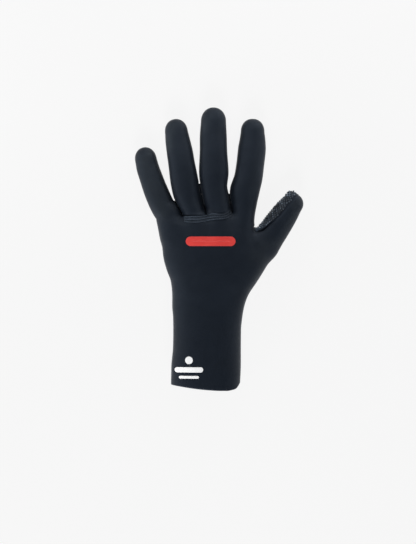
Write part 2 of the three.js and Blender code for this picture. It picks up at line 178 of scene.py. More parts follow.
def catmull(rows, per=24):
    """A smooth line through rows of x, y, z, w, h: centripetal in place, uniform in size."""
    p, s = rows[:, :3], rows[:, 3:]
    grow = lambda a: np.vstack([2 * a[0] - a[1], a, 2 * a[-1] - a[-2]])
    pe, se = grow(p), grow(s)
    out = []
    for i in range(len(rows) - 1):
        p0, p1, p2, p3 = pe[i:i + 4]
        s0, s1, s2, s3 = se[i:i + 4]
        d0, d1, d2 = (max(float(np.linalg.norm(b - a)) ** 0.5, 1e-6) for a, b in ((p0, p1), (p1, p2), (p2, p3)))
        t1 = ((p1 - p0) / d0 - (p2 - p0) / (d0 + d1) + (p2 - p1) / d1) * d1
        t2 = ((p2 - p1) / d1 - (p3 - p1) / (d1 + d2) + (p3 - p2) / d2) * d1
        w = np.arange(per + (i == len(rows) - 2))[:, None] / per
        a, b, c, d = 2 * w**3 - 3 * w**2 + 1, w**3 - 2 * w**2 + w, -2 * w**3 + 3 * w**2, w**3 - w**2
        out.append(np.hstack([
            a * p1 + b * t1 + c * p2 + d * t2,
            a * s1 + b * 0.5 * (s2 - s0) + c * s2 + d * 0.5 * (s3 - s1),
            i + w,
        ]))
    return np.vstack(out)


GRID_LOW, GRID_HIGH = np.array([-90.0, -150.0]), np.array([92.0, 146.0])


class Tube:
    """A finger: a line, and a rounded section whose size changes along it."""

    STEP = 0.5

    def __init__(self, rows, tip, tip_power, power):
        s = catmull(rows)
        at = np.concatenate([[0], np.cumsum(np.linalg.norm(np.diff(s[:, :2], axis=0), axis=1))])
        n = int(at[-1] / self.STEP)
        even = np.linspace(0, at[-1], n + 1)
        self.step = even[1]
        self.line = np.stack([np.interp(even, at, s[:, k]) for k in range(6)], 1)  # x y rise w h row
        t = np.gradient(self.line[:, :2], axis=0)
        self.tangent = t / np.linalg.norm(t, axis=1)[:, None]
        self.tip, self.tip_power, self.power = tip, tip_power, power
        self.skew = 0.0
        self.fall = (self.line[-1, 2] - self.line[-9, 2]) / (8 * self.step)  # the tip goes on falling as the finger does
        gx, gy = np.meshgrid(np.arange(GRID_LOW[0], GRID_HIGH[0] + 1), np.arange(GRID_LOW[1], GRID_HIGH[1] + 1), indexing="ij")
        q = np.stack([gx.ravel(), gy.ravel()], 1)
        near = np.empty(len(q), np.int32)
        for a in range(0, len(q), 8000):
            d = ((q[a:a + 8000, None, :] - self.line[None, :, :2]) ** 2).sum(2)
            near[a:a + 8000] = d.argmin(1)
        self.near = near.reshape(gx.shape)

    def place(self, xy):
        """Across, past the end, past the start, height, half width, half height and row at each point."""
        c = np.clip(np.rint(xy - GRID_LOW).astype(int), 0, np.array(self.near.shape) - 1)
        i = self.near[c[:, 0], c[:, 1]]
        for _ in range(2):
            along = ((xy - self.line[i, :2]) * self.tangent[i]).sum(1) / self.step
            f = i + along
            i = np.clip(np.rint(f), 0, len(self.line) - 1).astype(int)
        along = ((xy - self.line[i, :2]) * self.tangent[i]).sum(1) / self.step
        f = i + along
        last = len(self.line) - 1
        past, before = np.maximum(f - last, 0) * self.step, np.maximum(-f, 0) * self.step
        f = np.clip(f, 0, last)
        j = np.minimum(f.astype(int), last - 1)
        w = (f - j)[:, None]
        r = self.line[j] * (1 - w) + self.line[j + 1] * w
        t = self.tangent[j] * (1 - w) + self.tangent[j + 1] * w
        t /= np.linalg.norm(t, axis=1)[:, None]
        across = (xy[:, 0] - r[:, 0]) * t[:, 1] - (xy[:, 1] - r[:, 1]) * t[:, 0]
        bent = np.minimum(past, 1.3 * self.tip)
        rise = r[:, 2] + self.fall * (bent - bent * bent / (2.6 * self.tip))
        return dict(across=across, past=past, before=before, rise=rise, w=r[:, 3], h=r[:, 4], row=r[:, 5], c=r[:, :2], t=t)

    def distance(self, s, z, wide=False):
        g = (lambda v: v[:, None]) if wide else (lambda v: v)
        a, up = g(s["across"]), z - g(s["rise"])
        q = (np.abs(a / g(s["w"])) ** self.power + np.abs(up / g(s["h"])) ** self.power) ** (1 / self.power)
        e = g(s["past"])
        lean = np.clip(-a / g(s["w"]), -1.0, 1.0) * self.skew  # the thumb's end is squarer on its inner side
        power = self.tip_power + np.where(lean > 0, 0.9, 0.4) * lean
        qq = np.where(e > 0, (q**power + (e / (self.tip + 0.9 * lean)) ** power) ** (1 / power), q)
        b = g(s["before"])
        qq = np.where(b > 0, np.sqrt(qq**2 + (b / g(s["w"])) ** 2), qq)
        r = np.sqrt(a * a + up * up + e * e + b * b)
        return r * (1 - 1 / np.maximum(qq, 1e-3))


TUBE = {k: Tube(*v) for k, v in TUBES.items()}
TUBE["thumb"].skew = 1.0


def dense_palm():
    y = PALM[:, 0]
    fine = np.arange(y[0], y[-1] + 0.01, 0.5)
    cols = []
    for k in range(1, 5):
        v = PALM[:, k]
        m = np.zeros(len(v))
        d = np.diff(v) / np.diff(y)
        m[1:-1] = np.where(d[:-1] * d[1:] > 0, 2 * d[:-1] * d[1:] / (d[:-1] + d[1:] + 1e-12), (d[:-1] + d[1:]) * 0.25)
        m[0], m[-1] = d[0], d[-1]
        i = np.clip(np.searchsorted(y, fine, side="right") - 1, 0, len(y) - 2)
        h = y[i + 1] - y[i]
        t = (fine - y[i]) / h
        cols.append((2 * t**3 - 3 * t**2 + 1) * v[i] + (t**3 - 2 * t**2 + t) * h * m[i]
                    + (-2 * t**3 + 3 * t**2) * v[i + 1] + (t**3 - t**2) * h * m[i + 1])
    return fine, np.stack(cols, 1)


PALM_Y, PALM_COLS = dense_palm()


def palm_place(xy):
    v = [np.interp(xy[:, 1], PALM_Y, PALM_COLS[:, k]) for k in range(4)]
    past = np.maximum(xy[:, 1] - np.interp(xy[:, 0], KNUCKLE_LINE[:, 0], KNUCKLE_LINE[:, 1]), 0) / KNUCKLE_CAP
    return dict(c=(v[0] + v[1]) / 2, w=(v[1] - v[0]) / 2, zc=(v[2] - SINK) / 2, h=(v[2] + SINK) / 2, power=v[3], past=past)


def palm_distance(xy, s, z, wide=False):
    g = (lambda v: v[:, None]) if wide else (lambda v: v)
    a, up = g(xy[:, 0]) - g(s["c"]), z - g(s["zc"])
    p = g(s["power"])
    q = (np.abs(a / g(s["w"])) ** p + np.abs(up / g(s["h"])) ** p) ** (1 / p)
    e = g(s["past"])
    q = np.where(e > 0, (q**1.75 + e**1.75) ** (1 / 1.75), q)
    r = np.sqrt(a * a + up * up + (e * KNUCKLE_CAP) ** 2)
    return r * (1 - 1 / np.maximum(q, 1e-3))


def smin(a, b, k):
    h = np.clip(0.5 + 0.5 * (b - a) / k, 0, 1)
    return b * (1 - h) + a * h - k * h * (1 - h)


def smooth(x, a, b):
    t = np.clip((x - a) / (b - a), 0, 1)
    return t * t * (3 - 2 * t)


def relief(x, y, z):
    """Soft unevenness of the foam, and the soft folds of the back."""
    n = (0.10 * np.sin(x / 11.3 + 1.3 + 0.6 * np.sin(y / 19.0)) * np.sin(y / 17.1 + 0.4)
         + 0.05 * np.sin(x / 8.2 + y / 11.4 + 2.0) * np.sin(z / 9.0 + y / 15.0 + 1.0))
    up = smooth(z, 14.0, 24.0)
    for x0, y0, x1, y1, half, height in FOLDS:
        dx, dy = x1 - x0, y1 - y0
        length = dx * dx + dy * dy
        t = np.clip(((x - x0) * dx + (y - y0) * dy) / length, 0, 1)
        d2 = (x - x0 - t * dx) ** 2 + (y - y0 - t * dy) ** 2
        n = n + up * height * np.exp(-d2 / (half * half)) * (0.35 + 0.65 * np.sin(np.pi * np.clip(t, 0.02, 0.98)) ** 0.7)
    return n


def painted_light_at(p):
    n = np.zeros(len(p))
    for x0, y0, x1, y1, half, much in PAINTED_LIGHT_STROKES:
        dx, dy = x1 - x0, y1 - y0
        t = np.clip(((p[:, 0] - x0) * dx + (p[:, 1] - y0) * dy) / (dx * dx + dy * dy), 0, 1)
        d2 = (p[:, 0] - x0 - t * dx) ** 2 + (p[:, 1] - y0 - t * dy) ** 2
        n = n + much * np.exp(-d2 / (half * half))
    return n


def thumb_strip_painted_light(p):
    """Painted light on the thumb's front panel: a brightness factor, higher at its base, its outer edge and its tip."""
    s = TUBE["thumb"].place(p[:, :2])
    row = s["row"] + s["past"] * 0.12
    edge = smooth(-s["across"] / s["w"], 0.45, 0.85)
    at = (3.3, 4.3, 4.8, 5.4, 6.2, 7.2, 8.2, 9.0)
    inner = np.interp(row, at, (13.0, 4.4, 1.60, 0.78, 0.47, 0.52, 1.10, 1.15))
    outer = np.interp(row, at, (7.0, 2.6, 1.35, 1.10, 1.18, 0.92, 1.45, 1.45))
    return inner + (outer - inner) * edge


def glints_at(p):
    """Painted glints: pads of uneven brightness, more so along the thumb's outer edge, on top of the thumb strip's
    painted light.
    """
    s = TUBE["thumb"].place(p[:, :2])
    edge = smooth(-s["across"] / s["w"], 0.45, 0.90)
    odd = np.random.default_rng(9).normal(0.0, 1.0, len(p))
    return thumb_strip_painted_light(p) * np.clip(np.exp(odd * (0.70 + 0.15 * edge) - 0.20), 0.08, 2.8)


FINGER_NAMES = ("little", "ring", "middle", "index")


def whole(xy, z, wide=False):
    """Distance to the glove's outer face, negative inside, with each finger's own distance."""
    sp = palm_place(xy)
    d = palm_distance(xy, sp, z, wide)
    each = {}
    for name, tube in TUBE.items():
        each[name] = tube.distance(tube.place(xy), z, wide)
    f = each["little"]
    for name in FINGER_NAMES[1:]:
        f = smin(f, each[name], 1.1)
    d = smin(d, f, 4.5 + 3.0 * smooth(z, 22.0, 30.0))
    d = smin(d, each["thumb"], 4.0)
    x = xy[:, :1] if wide else xy[:, 0]
    y = xy[:, 1:2] if wide else xy[:, 1]
    d = d - relief(x, y, z)
    return -smin(-d, z - 0.04, 0.7), each


def field(p):
    return whole(p[:, :2], p[:, 2])[0]


def gradient(p, f=field, e=0.2):
    g = np.empty_like(p)
    for k in range(3):
        q = p.copy()
        q[:, k] += e
        a = f(q)
        q[:, k] -= 2 * e
        g[:, k] = (a - f(q)) / (2 * e)
    return g


def normal(p):
    g = gradient(p)
    return g / np.maximum(np.linalg.norm(g, axis=1), 1e-9)[:, None]


def project(p, times=3):
    for _ in range(times):
        g = gradient(p)
        step = field(p) / np.maximum((g * g).sum(1), 0.05)
        p = p - g * np.clip(step, -1.5, 1.5)[:, None]
    return p


def top_of(xy):
    """The back's height over points seen from above."""
    low, high = np.full(len(xy), 12.0), np.full(len(xy), 52.0)
    for _ in range(26):
        mid = (low + high) / 2
        inside = field(np.column_stack([xy, mid])) < 0
        low, high = np.where(inside, mid, low), np.where(inside, high, mid)
    return np.column_stack([xy, (low + high) / 2])


# ------------------------------------------------------------------ seams as fields


def seam_height(xy):
    ds, rise = [], []
    for name in FINGER_NAMES:
        s = TUBE[name].place(xy)
        ds.append(np.sqrt(s["across"] ** 2 + s["past"] ** 2 + s["before"] ** 2))
        rise.append(s["rise"])
    ds, rise = np.array(ds), np.array(rise)
    w = np.exp(-(ds - ds.min(0)) / 2.0)
    on_finger = (w * rise).sum(0) / w.sum(0)
    on_palm = 17.4 + 1.6 * smooth(-xy[:, 1], 0, 90)
    k = smooth(xy[:, 1], 8, 34)
    return on_palm * (1 - k) + on_finger * k - SEAM_DROP


def thumb_outside(xy):
    """How far outside the thumb's zone, by its base seam and its inner side."""
    base = (xy[:, 0] - 44.0) * -0.750 + (xy[:, 1] - 7.0) * -0.661
    side = (xy[:, 0] - 33.9) * -0.956 + (xy[:, 1] - 18.3) * 0.294
    return -smin(-base, -side, 2.0)


def seam_turn():
    """How far the thumb's seam lies round the section, at rows of the thumb."""
    p = top_of(THUMB_SEAM)
    s = TUBE["thumb"].place(THUMB_SEAM)
    turn = np.arctan2(-s["across"], p[:, 2] - s["rise"])
    row = s["row"] + s["past"] * 0.12
    order = np.argsort(row)
    return row[order], turn[order]


SEAM_ROW, SEAM_TURN = seam_turn()


def thumb_front_side(p):
    s = TUBE["thumb"].place(p[:, :2])
    turn = np.interp(s["row"] + s["past"] * 0.12, SEAM_ROW, SEAM_TURN)
    return -(s["across"] * np.cos(turn) + (p[:, 2] - s["rise"]) * np.sin(turn))


def side_of_seam(p):
    return p[:, 2] - seam_height(p[:, :2])


def front_of_thumb(p):  # over 0 on the thumb's front panel
    return -np.maximum(thumb_outside(p[:, :2]), -thumb_front_side(p))


def on_back(p):  # over 0 on the back panel and on the thumb
    return np.maximum(side_of_seam(p), -thumb_outside(p[:, :2]))


def on_finger_backs(p):
    each = whole(p[:, :2], p[:, 2])[1]
    ring = np.minimum(each["little"], each["index"]) - each["ring"]
    middle = np.minimum(each["little"], each["index"]) - each["middle"]
    knuckle = p[:, 1] - np.interp(p[:, 0], KNUCKLE_SEAM[:, 0], KNUCKLE_SEAM[:, 1])
    return np.minimum(np.minimum(np.maximum(ring, middle) * 0.7, knuckle), side_of_seam(p))


def on_middle(p):  # over 0 on the middle finger's side of the crease
    each = whole(p[:, :2], p[:, 2])[1]
    return (each["ring"] - each["middle"]) * 0.7


HEM_FINE = np.linspace(-60, 40, 401)


def hem_curve():
    x, y = HEM[:, 0], HEM[:, 1]
    m = np.gradient(y, x)
    i = np.clip(np.searchsorted(x, HEM_FINE, side="right") - 1, 0, len(x) - 2)
    h = x[i + 1] - x[i]
    t = (HEM_FINE - x[i]) / h
    return ((2 * t**3 - 3 * t**2 + 1) * y[i] + (t**3 - 2 * t**2 + t) * h * m[i]
            + (-2 * t**3 + 3 * t**2) * y[i + 1] + (t**3 - t**2) * h * m[i + 1])


HEM_Y = hem_curve()


def past_hem(p):  # over 0 on the glove's side of the cut end
    x = p[:, 0]
    slope = np.interp(x, HEM_FINE, np.gradient(HEM_Y, HEM_FINE))
    return (p[:, 1] - np.interp(x, HEM_FINE, HEM_Y)) / np.sqrt(1 + slope * slope)


# ------------------------------------------------------------------ mesh work


def surface():
    h = CELL
    low = np.array([GRID_LOW[0] + 6, GRID_LOW[1] + 8, -3.0])
    n = np.array([int((GRID_HIGH[0] - 6 - low[0]) / h), int((GRID_HIGH[1] - 6 - low[1]) / h), int(52 / h)])
    xs, ys, zs = (low[k] + h * (np.arange(n[k]) + 0.137 * (k + 1)) for k in range(3))
    low = np.array([xs[0], ys[0], zs[0]])
    gx, gy = np.meshgrid(xs, ys, indexing="ij")
    xy = np.stack([gx.ravel(), gy.ravel()], 1)
    v = np.empty((len(xy), n[2]))
    for a in range(0, len(xy), 6000):
        v[a:a + 6000] = whole(xy[a:a + 6000], zs[None, :], wide=True)[0]
    v = v.reshape(n)
    inside = v < 0
    count = np.zeros(n - 1, np.int8)
    for c in np.ndindex(2, 2, 2):
        count += inside[c[0]:n[0] - 1 + c[0], c[1]:n[1] - 1 + c[1], c[2]:n[2] - 1 + c[2]]
    active = (count > 0) & (count < 8)
    number = -np.ones(active.shape, np.int32)
    cells = np.argwhere(active)
    number[active] = np.arange(len(cells))
    i, j, k = cells.T
    total, hits = np.zeros((len(cells), 3)), np.zeros(len(cells))
    for a in np.ndindex(2, 2, 2):
        for axis in range(3):
            if a[axis]:
                continue
            b = list(a)
            b[axis] = 1
            va, vb = v[i + a[0], j + a[1], k + a[2]], v[i + b[0], j + b[1], k + b[2]]
            m = (va < 0) != (vb < 0)
            t = np.where(m, va / np.where(m, va - vb, 1), 0)
            q = np.tile(np.array(a, float), (len(cells), 1))
            q[:, axis] += t
            total[m] += q[m]
            hits[m] += 1
    p = low + h * (cells + total / hits[:, None])
    quads = []
    for axis in range(3):
        o1, o2 = (axis + 1) % 3, (axis + 2) % 3
        sl0, sl1 = [slice(None)] * 3, [slice(None)] * 3
        sl0[axis], sl1[axis] = slice(0, -1), slice(1, None)
        a, b = inside[tuple(sl0)], inside[tuple(sl1)]
        m = a != b
        for o in (o1, o2):
            for end in (0, -1):
                s = [slice(None)] * 3
                s[o] = end
                m[tuple(s)] = False
        e = np.argwhere(m)
        out = a[m]
        corner = []
        for d1, d2 in ((1, 1), (0, 1), (0, 0), (1, 0)):
            c = e.copy()
            c[:, o1] -= d1
            c[:, o2] -= d2
            corner.append(number[c[:, 0], c[:, 1], c[:, 2]])
        q = np.stack(corner, 1)
        q[~out] = q[~out][:, ::-1]
        quads.append(q)
    q = np.vstack(quads)
    p = project(p, 3)
    for _ in range(3):  # even out the faces, then back onto the form
        total, hits = np.zeros_like(p), np.zeros(len(p))
        for a, b in ((0, 1), (1, 2), (2, 3), (3, 0)):
            np.add.at(total, q[:, a], p[q[:, b]])
            np.add.at(total, q[:, b], p[q[:, a]])
            np.add.at(hits, q[:, a], 1)
            np.add.at(hits, q[:, b], 1)
        p = p * 0.45 + 0.55 * total / hits[:, None]
        p = project(p, 1)
    p = project(p, 1)
    d0 = np.linalg.norm(p[q[:, 0]] - p[q[:, 2]], axis=1)
    d1 = np.linalg.norm(p[q[:, 1]] - p[q[:, 3]], axis=1)
    s = d0 <= d1
    t = np.vstack([q[s][:, [0, 1, 2]], q[s][:, [0, 2, 3]], q[~s][:, [0, 1, 3]], q[~s][:, [1, 2, 3]]])
    return p, t


def snap(p, f, reach=0.28):
    """Moves points that almost lie on f = 0 onto it, along the surface. Returns the points and f there."""
    v = f(p)
    near = np.abs(v) < 1.2
    q = p[near]
    n = normal(q)
    g = gradient(q, f, 0.12)
    g -= n * (g * n).sum(1)[:, None]
    gg = np.maximum((g * g).sum(1), 0.05)
    go = np.abs(v[near]) / np.sqrt(gg) < reach
    q[go] -= g[go] * (v[near][go] / gg[go])[:, None]
    p = p.copy()
    q[go] = project(q[go], 1)
    where = np.nonzero(near)[0]
    p[where[go]] = q[go]
    v = f(p)
    v[where[go]] = 0.0
    return p, v


def cut(p, t, v, extra=(), only=None, back=True):
    """Splits the triangles where v changes sign, so that v = 0 runs along edges. extra: per-triangle arrays kept."""
    sign = np.sign(v).astype(int)
    st = sign[t]
    crossing = (st.min(1) < 0) & (st.max(1) > 0)
    if only is not None:
        crossing &= only
    keep = ~crossing
    c, sc = t[crossing], st[crossing]
    carried = [e[crossing] for e in extra]
    zeros = (sc == 0).sum(1)
    # one corner on the line: it goes first
    one = zeros == 1
    turn = np.where(one, (sc == 0).argmax(1), 0)
    # none on the line: the lone corner goes first
    lone = (sc * np.sign(sc.sum(1))[:, None] < 0).argmax(1)
    turn = np.where(one, turn, lone)
    r = np.arange(len(c))
    a, b, d = c[r, turn], c[r, (turn + 1) % 3], c[r, (turn + 2) % 3]
    edges, own = [], []
    edges.append(np.stack([b[one], d[one]], 1))
    edges.append(np.stack([a[~one], b[~one]], 1))
    edges.append(np.stack([a[~one], d[~one]], 1))
    allowed = np.vstack(edges)
    low, high = allowed.min(1), allowed.max(1)
    key = low.astype(np.int64) * (len(p) + 1) + high
    unique, first, inverse = np.unique(key, return_index=True, return_inverse=True)
    e0, e1 = low[first], high[first]
    w = v[e0] / (v[e0] - v[e1])
    new = p[e0] * (1 - w)[:, None] + p[e1] * w[:, None]
    if back and len(new):
        new = project(new, 1)
    ids = len(p) + inverse
    k1, k2 = one.sum(), (~one).sum()
    m = ids[:k1]
    ab, ad = ids[k1:k1 + k2], ids[k1 + k2:]
    parts = [t[keep]]
    outs = [[e[keep]] for e in extra]
    ao, bo, do = a[one], b[one], d[one]
    parts += [np.stack([ao, bo, m], 1), np.stack([ao, m, do], 1)]
    al, bl, dl = a[~one], b[~one], d[~one]
    parts += [np.stack([al, ab, ad], 1), np.stack([ab, bl, dl], 1), np.stack([ab, dl, ad], 1)]
    for o, e in zip(outs, carried):
        o += [e[one], e[one], e[~one], e[~one], e[~one]]
    p = np.vstack([p, new])
    v = np.concatenate([v, np.zeros(len(new))])
    return p, np.vstack(parts), v, [np.concatenate(o) for o in outs]


def edge_table(t):
    """Each edge as (low, high) with the triangles on it."""
    e = np.vstack([t[:, [0, 1]], t[:, [1, 2]], t[:, [2, 0]]])
    tri = np.tile(np.arange(len(t)), 3)
    key = e.min(1).astype(np.int64) * (t.max() + 1) + e.max(1)
    order = np.argsort(key, kind="stable")
    return e[order], tri[order], key[order]


def chains(pairs):
    """Edges given as point pairs, as ordered runs of points."""
    near = {}
    for a, b in pairs:
        near.setdefault(int(a), []).append(int(b))
        near.setdefault(int(b), []).append(int(a))
    used, runs = set(), []
    starts = [k for k, v in near.items() if len(v) != 2] + list(near)
    for s in starts:
        for nxt in near[s]:
            if (min(s, nxt), max(s, nxt)) in used:
                continue
            run, here, prev = [s], nxt, s
            used.add((min(s, nxt), max(s, nxt)))
            while True:
                run.append(here)
                if len(near[here]) != 2:
                    break
                go = [q for q in near[here] if (min(here, q), max(here, q)) not in used]
                if not go:
                    break
                used.add((min(here, go[0]), max(here, go[0])))
                here = go[0]
            runs.append(run)
    return runs


def even_points(line, pitch):
    d = np.concatenate([[0], np.cumsum(np.linalg.norm(np.diff(line, axis=0), axis=1))])
    n = max(int(round(d[-1] / pitch)), 1)
    at = np.linspace(0, d[-1], n + 1)
    return np.stack([np.interp(at, d, line[:, k]) for k in range(3)], 1)


def soften(line, times=4):
    line = line.copy()
    for _ in range(times):
        line[1:-1] = line[1:-1] * 0.5 + 0.25 * (line[:-2] + line[2:])
    return line


# ------------------------------------------------------------------ flat pattern


def flat_places(p, below):
    """Where each point lies on the flat sheet that its panel was cut from."""
    xy, z = p[:, :2], p[:, 2]
    places, weights = [], []
    s = palm_place(xy)
    d = palm_distance(xy, s, z)
    sign = np.where(below, -1.0, 1.0)
    a, up = xy[:, 0] - s["c"], (z - s["zc"]) * sign
    turn = np.arctan2(a / s["w"], up / s["h"])
    places.append(np.column_stack([s["c"] + turn * np.sqrt((s["w"] ** 2 + s["h"] ** 2) / 2), xy[:, 1]]))
    weights.append(d)
    for name, tube in TUBE.items():
        s = tube.place(xy)
        d = tube.distance(s, z)
        up = (z - s["rise"]) * sign
        turn = np.arctan2(s["across"] / s["w"], up / s["h"])
        arc = turn * np.sqrt((s["w"] ** 2 + s["h"] ** 2) / 2)
        right = np.column_stack([s["t"][:, 1], -s["t"][:, 0]])
        ahead = (s["past"] - s["before"])[:, None] * s["t"]
        places.append(s["c"] + right * arc[:, None] + ahead)
        weights.append(d)
    w = np.array(weights)
    w = np.exp(-(w - w.min(0)) / 1.6)
    w /= w.sum(0)
    return (np.array(places) * w[:, :, None]).sum(0)


# ------------------------------------------------------------------ Blender meshes


def add_mesh(name, p, faces, attributes=None, zones=None, smooth_faces=True):
    """p in millimetres. faces: an array of triangles, or a list of arrays of polygons."""
    me = bpy.data.meshes.new(name)
    groups = faces if isinstance(faces, list) else [faces]
    groups = [g for g in groups if len(g)]
    sizes = np.concatenate([np.full(len(g), g.shape[1]) for g in groups])
    loops = np.concatenate([g.ravel() for g in groups]).astype(np.int32)
    me.vertices.add(len(p))
    me.vertices.foreach_set("co", (np.asarray(p, float) * 0.001).astype(np.float32).ravel())
    me.loops.add(len(loops))
    me.loops.foreach_set("vertex_index", loops)
    me.polygons.add(len(sizes))
    me.polygons.foreach_set("loop_start", np.concatenate([[0], np.cumsum(sizes)[:-1]]).astype(np.int32))
    me.polygons.foreach_set("loop_total", sizes.astype(np.int32))
    if zones is not None:
        me.polygons.foreach_set("material_index", np.asarray(zones, np.int32))
    me.update(calc_edges=True)
    me.polygons.foreach_set("use_smooth", np.full(len(sizes), smooth_faces))
    for key, value in (attributes or {}).items():
        value = np.asarray(value, np.float32)
        kind = "FLOAT_VECTOR" if value.ndim == 2 else "FLOAT"
        made = me.attributes.new(key, kind, "POINT")
        made.data.foreach_set("vector" if value.ndim == 2 else "value", value.ravel())
    me.validate()
    o = bpy.data.objects.new(name, me)
    bpy.context.scene.collection.objects.link(o)
    return o


def compact(p, faces, *rest):
    used = np.unique(np.concatenate([f.ravel() for f in faces]))
    to = -np.ones(len(p), np.int64)
    to[used] = np.arange(len(used))
    return p[used], [to[f] for f in faces], [r[used] for r in rest]


def capsules(starts, ends, ups, radius, rings=6, sides=6, arch=0.0, flat=1.0):
    """Short threads as closed rounded tubes from start to end, arched towards ups."""
    n = len(starts)
    along = ends - starts
    length = np.linalg.norm(along, axis=1)[:, None]
    along = along / np.maximum(length, 1e-9)
    side = np.cross(along, ups)
    side /= np.maximum(np.linalg.norm(side, axis=1), 1e-9)[:, None]
    up = np.cross(side, along)
    t = np.linspace(0, 1, rings)
    pts = []
    for k, w in enumerate(t):
        r = radius * (max(1 - (2 * w - 1) ** 4, 0.0) ** 0.5 * 0.82 + 0.18)
        c = starts + along * length * w + up * (arch * math.sin(math.pi * w))
        for j in range(sides):
            a = 2 * math.pi * j / sides
            pts.append(c + side * (math.cos(a) * r) + up * (math.sin(a) * r * flat))
    ends_at = len(pts)
    pts.append(starts - along * radius * 0.25)
    pts.append(ends + along * radius * 0.25)
    p = np.stack(pts, 1).reshape(-1, 3)
    per = ends_at + 2
    quads, tris = [], []
    for k in range(rings - 1):
        for j in range(sides):
            a, b = k * sides + j, k * sides + (j + 1) % sides
            quads.append((a, b, b + sides, a + sides))
    for j in range(sides):
        tris.append((ends_at, (j + 1) % sides, j))
        o = (rings - 1) * sides
        tris.append((ends_at + 1, o + j, o + (j + 1) % sides))
    base = (np.arange(n) * per)[:, None, None]
    q = (np.array(quads)[None] + base).reshape(-1, 4)
    s = (np.array(tris)[None] + base).reshape(-1, 3)
    return p, q, s


def joined(parts):
    """Several (points, quads, triangles) as one."""
    ps, qs, ts, at = [], [], [], 0
    for p, q, t in parts:
        ps.append(p)
        qs.append(q + at)
        ts.append(t + at)
        at += len(p)
    return np.vstack(ps), [np.vstack(qs), np.vstack(ts)]


# ------------------------------------------------------------------ the panels

BACK, PALM_SIDE, RING_BACK, MIDDLE_BACK, THUMB_FRONT = range(5)

P, T = surface()
P, v = snap(P, past_hem)
P, T, v, _ = cut(P, T, v)
T = T[v[T].sum(1) > 0]

P, v = snap(P, front_of_thumb)
P, T, v, _ = cut(P, T, v)
label = np.where(v[T].sum(1) > 0, THUMB_FRONT, BACK)


def snap_free(p, f, held):
    q, w = snap(p, f)
    q[held] = p[held]
    return q, w


held = np.zeros(len(P), bool)
held[T[label == THUMB_FRONT].ravel()] = True
held |= np.abs(past_hem(P)) < 1e-3
P, v = snap_free(P, on_back, held)
P, T, v, (label,) = cut(P, T, v, [label], only=label == BACK)
label = np.where((label == BACK) & (v[T].sum(1) < 0), PALM_SIDE, label)

held = np.zeros(len(P), bool)
held[T[label != BACK].ravel()] = True
held |= np.abs(past_hem(P)) < 1e-3
P, v = snap_free(P, on_finger_backs, held)
v[held & (np.abs(v) < 0.35)] = 0.0
P, T, v, (label,) = cut(P, T, v, [label], only=label == BACK)
label = np.where((label == BACK) & (v[T].sum(1) > 0), RING_BACK, label)

held = np.zeros(len(P), bool)
held[T[label != RING_BACK].ravel()] = True
P, v = snap_free(P, on_middle, held)
P, T, v, (label,) = cut(P, T, v, [label], only=label == RING_BACK)
label = np.where((label == RING_BACK) & (v[T].sum(1) > 0), MIDDLE_BACK, label)

# seam lines, as edges between two panels
E, TRI, KEY = edge_table(T)
same = np.nonzero(KEY[1:] == KEY[:-1])[0]
la, lb = label[TRI[same]], label[TRI[same + 1]]
seam = la != lb
seam_edges = E[same][seam]
seam_pairs = np.sort(np.stack([la[seam], lb[seam]], 1), 1)

SEAMS = []  # (pair of panels, run of points along the seam)
for pair in {tuple(r) for r in seam_pairs.tolist()}:
    m = (seam_pairs == pair).all(1)
    for run in chains(seam_edges[m].tolist()):
        if len(run) > 6:
            SEAMS.append((pair, P[run]))

dense = np.vstack([even_points(soften(r, 2), 0.2) for _, r in SEAMS])
tree = kdtree.KDTree(len(dense))
for i, q in enumerate(dense):
    tree.insert(q, i)
tree.balance()


def to_seam(p):
    return np.array([tree.find(q)[2] for q in p])


near_seam = to_seam(P)
from_hem = past_hem(P)
for ring_at in (0.45, 1.05, 1.9, 3.0):
    v = near_seam - ring_at
    v[np.abs(v) < 0.09] = 0.0
    old = len(P)
    P, T, v, (label,) = cut(P, T, v, [label])
    near_seam = np.concatenate([near_seam, to_seam(P[old:])])
    from_hem = np.concatenate([from_hem, past_hem(P[old:])])
for ring_at in (0.5, 1.3):
    v = from_hem - ring_at
    v[np.abs(v) < 0.09] = 0.0
    old = len(P)
    P, T, v, (label,) = cut(P, T, v, [label])
    near_seam = np.concatenate([near_seam, to_seam(P[old:])])
    from_hem = np.concatenate([from_hem, past_hem(P[old:])])

N = normal(P)

thumb_seam = np.vstack([even_points(soften(r, 2), 0.3) for pair, r in SEAMS if pair == (BACK, THUMB_FRONT)])
thumb_tree = kdtree.KDTree(len(thumb_seam))
for i, q in enumerate(thumb_seam):
    thumb_tree.insert(q, i)
thumb_tree.balance()
near_thumb = np.array([thumb_tree.find(q)[2] for q in P])
labels_of = np.full(len(P), BACK)
labels_of[T[label == THUMB_FRONT].ravel()] = THUMB_FRONT

# outer face: a rolled groove at each seam, swelling beside it, and a rounded cut edge at the hem. Along the thumb's
# seam the groove is a fine line and the back sinks softly towards it.
fine_seam = np.exp(-((near_thumb / 3.0) ** 2))
drop = -GROOVE * np.exp(-((near_seam / GROOVE_WIDTH) ** 2)) * (1 - 0.80 * fine_seam)
drop += SHOULDER * np.exp(-(((near_seam - 2.3) / 1.1) ** 2)) * (1 - fine_seam)
sunk = np.where(labels_of == THUMB_FRONT, 0.0, 1.0)
along = TUBE["thumb"].place(P[:, :2])["row"]
base = smooth(P[:, 0], 36.0, 41.0)
drop -= (0.75 - 0.45 * smooth(along, 3.6, 5.2) - 0.22 * smooth(along, 6.2, 7.6)) * np.exp(-((near_thumb / 3.4) ** 2)) * sunk * (0.35 + 0.65 * base)
ditch = np.exp(-(((near_thumb - 1.1) / 1.15) ** 2)) * sunk
drop -= (0.50 * (1 - smooth(along, 3.9, 4.6)) + 1.05 * (1 - smooth(along, 4.8, 6.4)) + 0.26) * ditch * (0.6 + 0.4 * base) * (1 - smooth(along, 6.6, 8.2))
rim = np.exp(-((np.maximum(from_hem, 0) / 0.38) ** 2))
OUT = P + N * (drop - 0.42 * rim)[:, None]
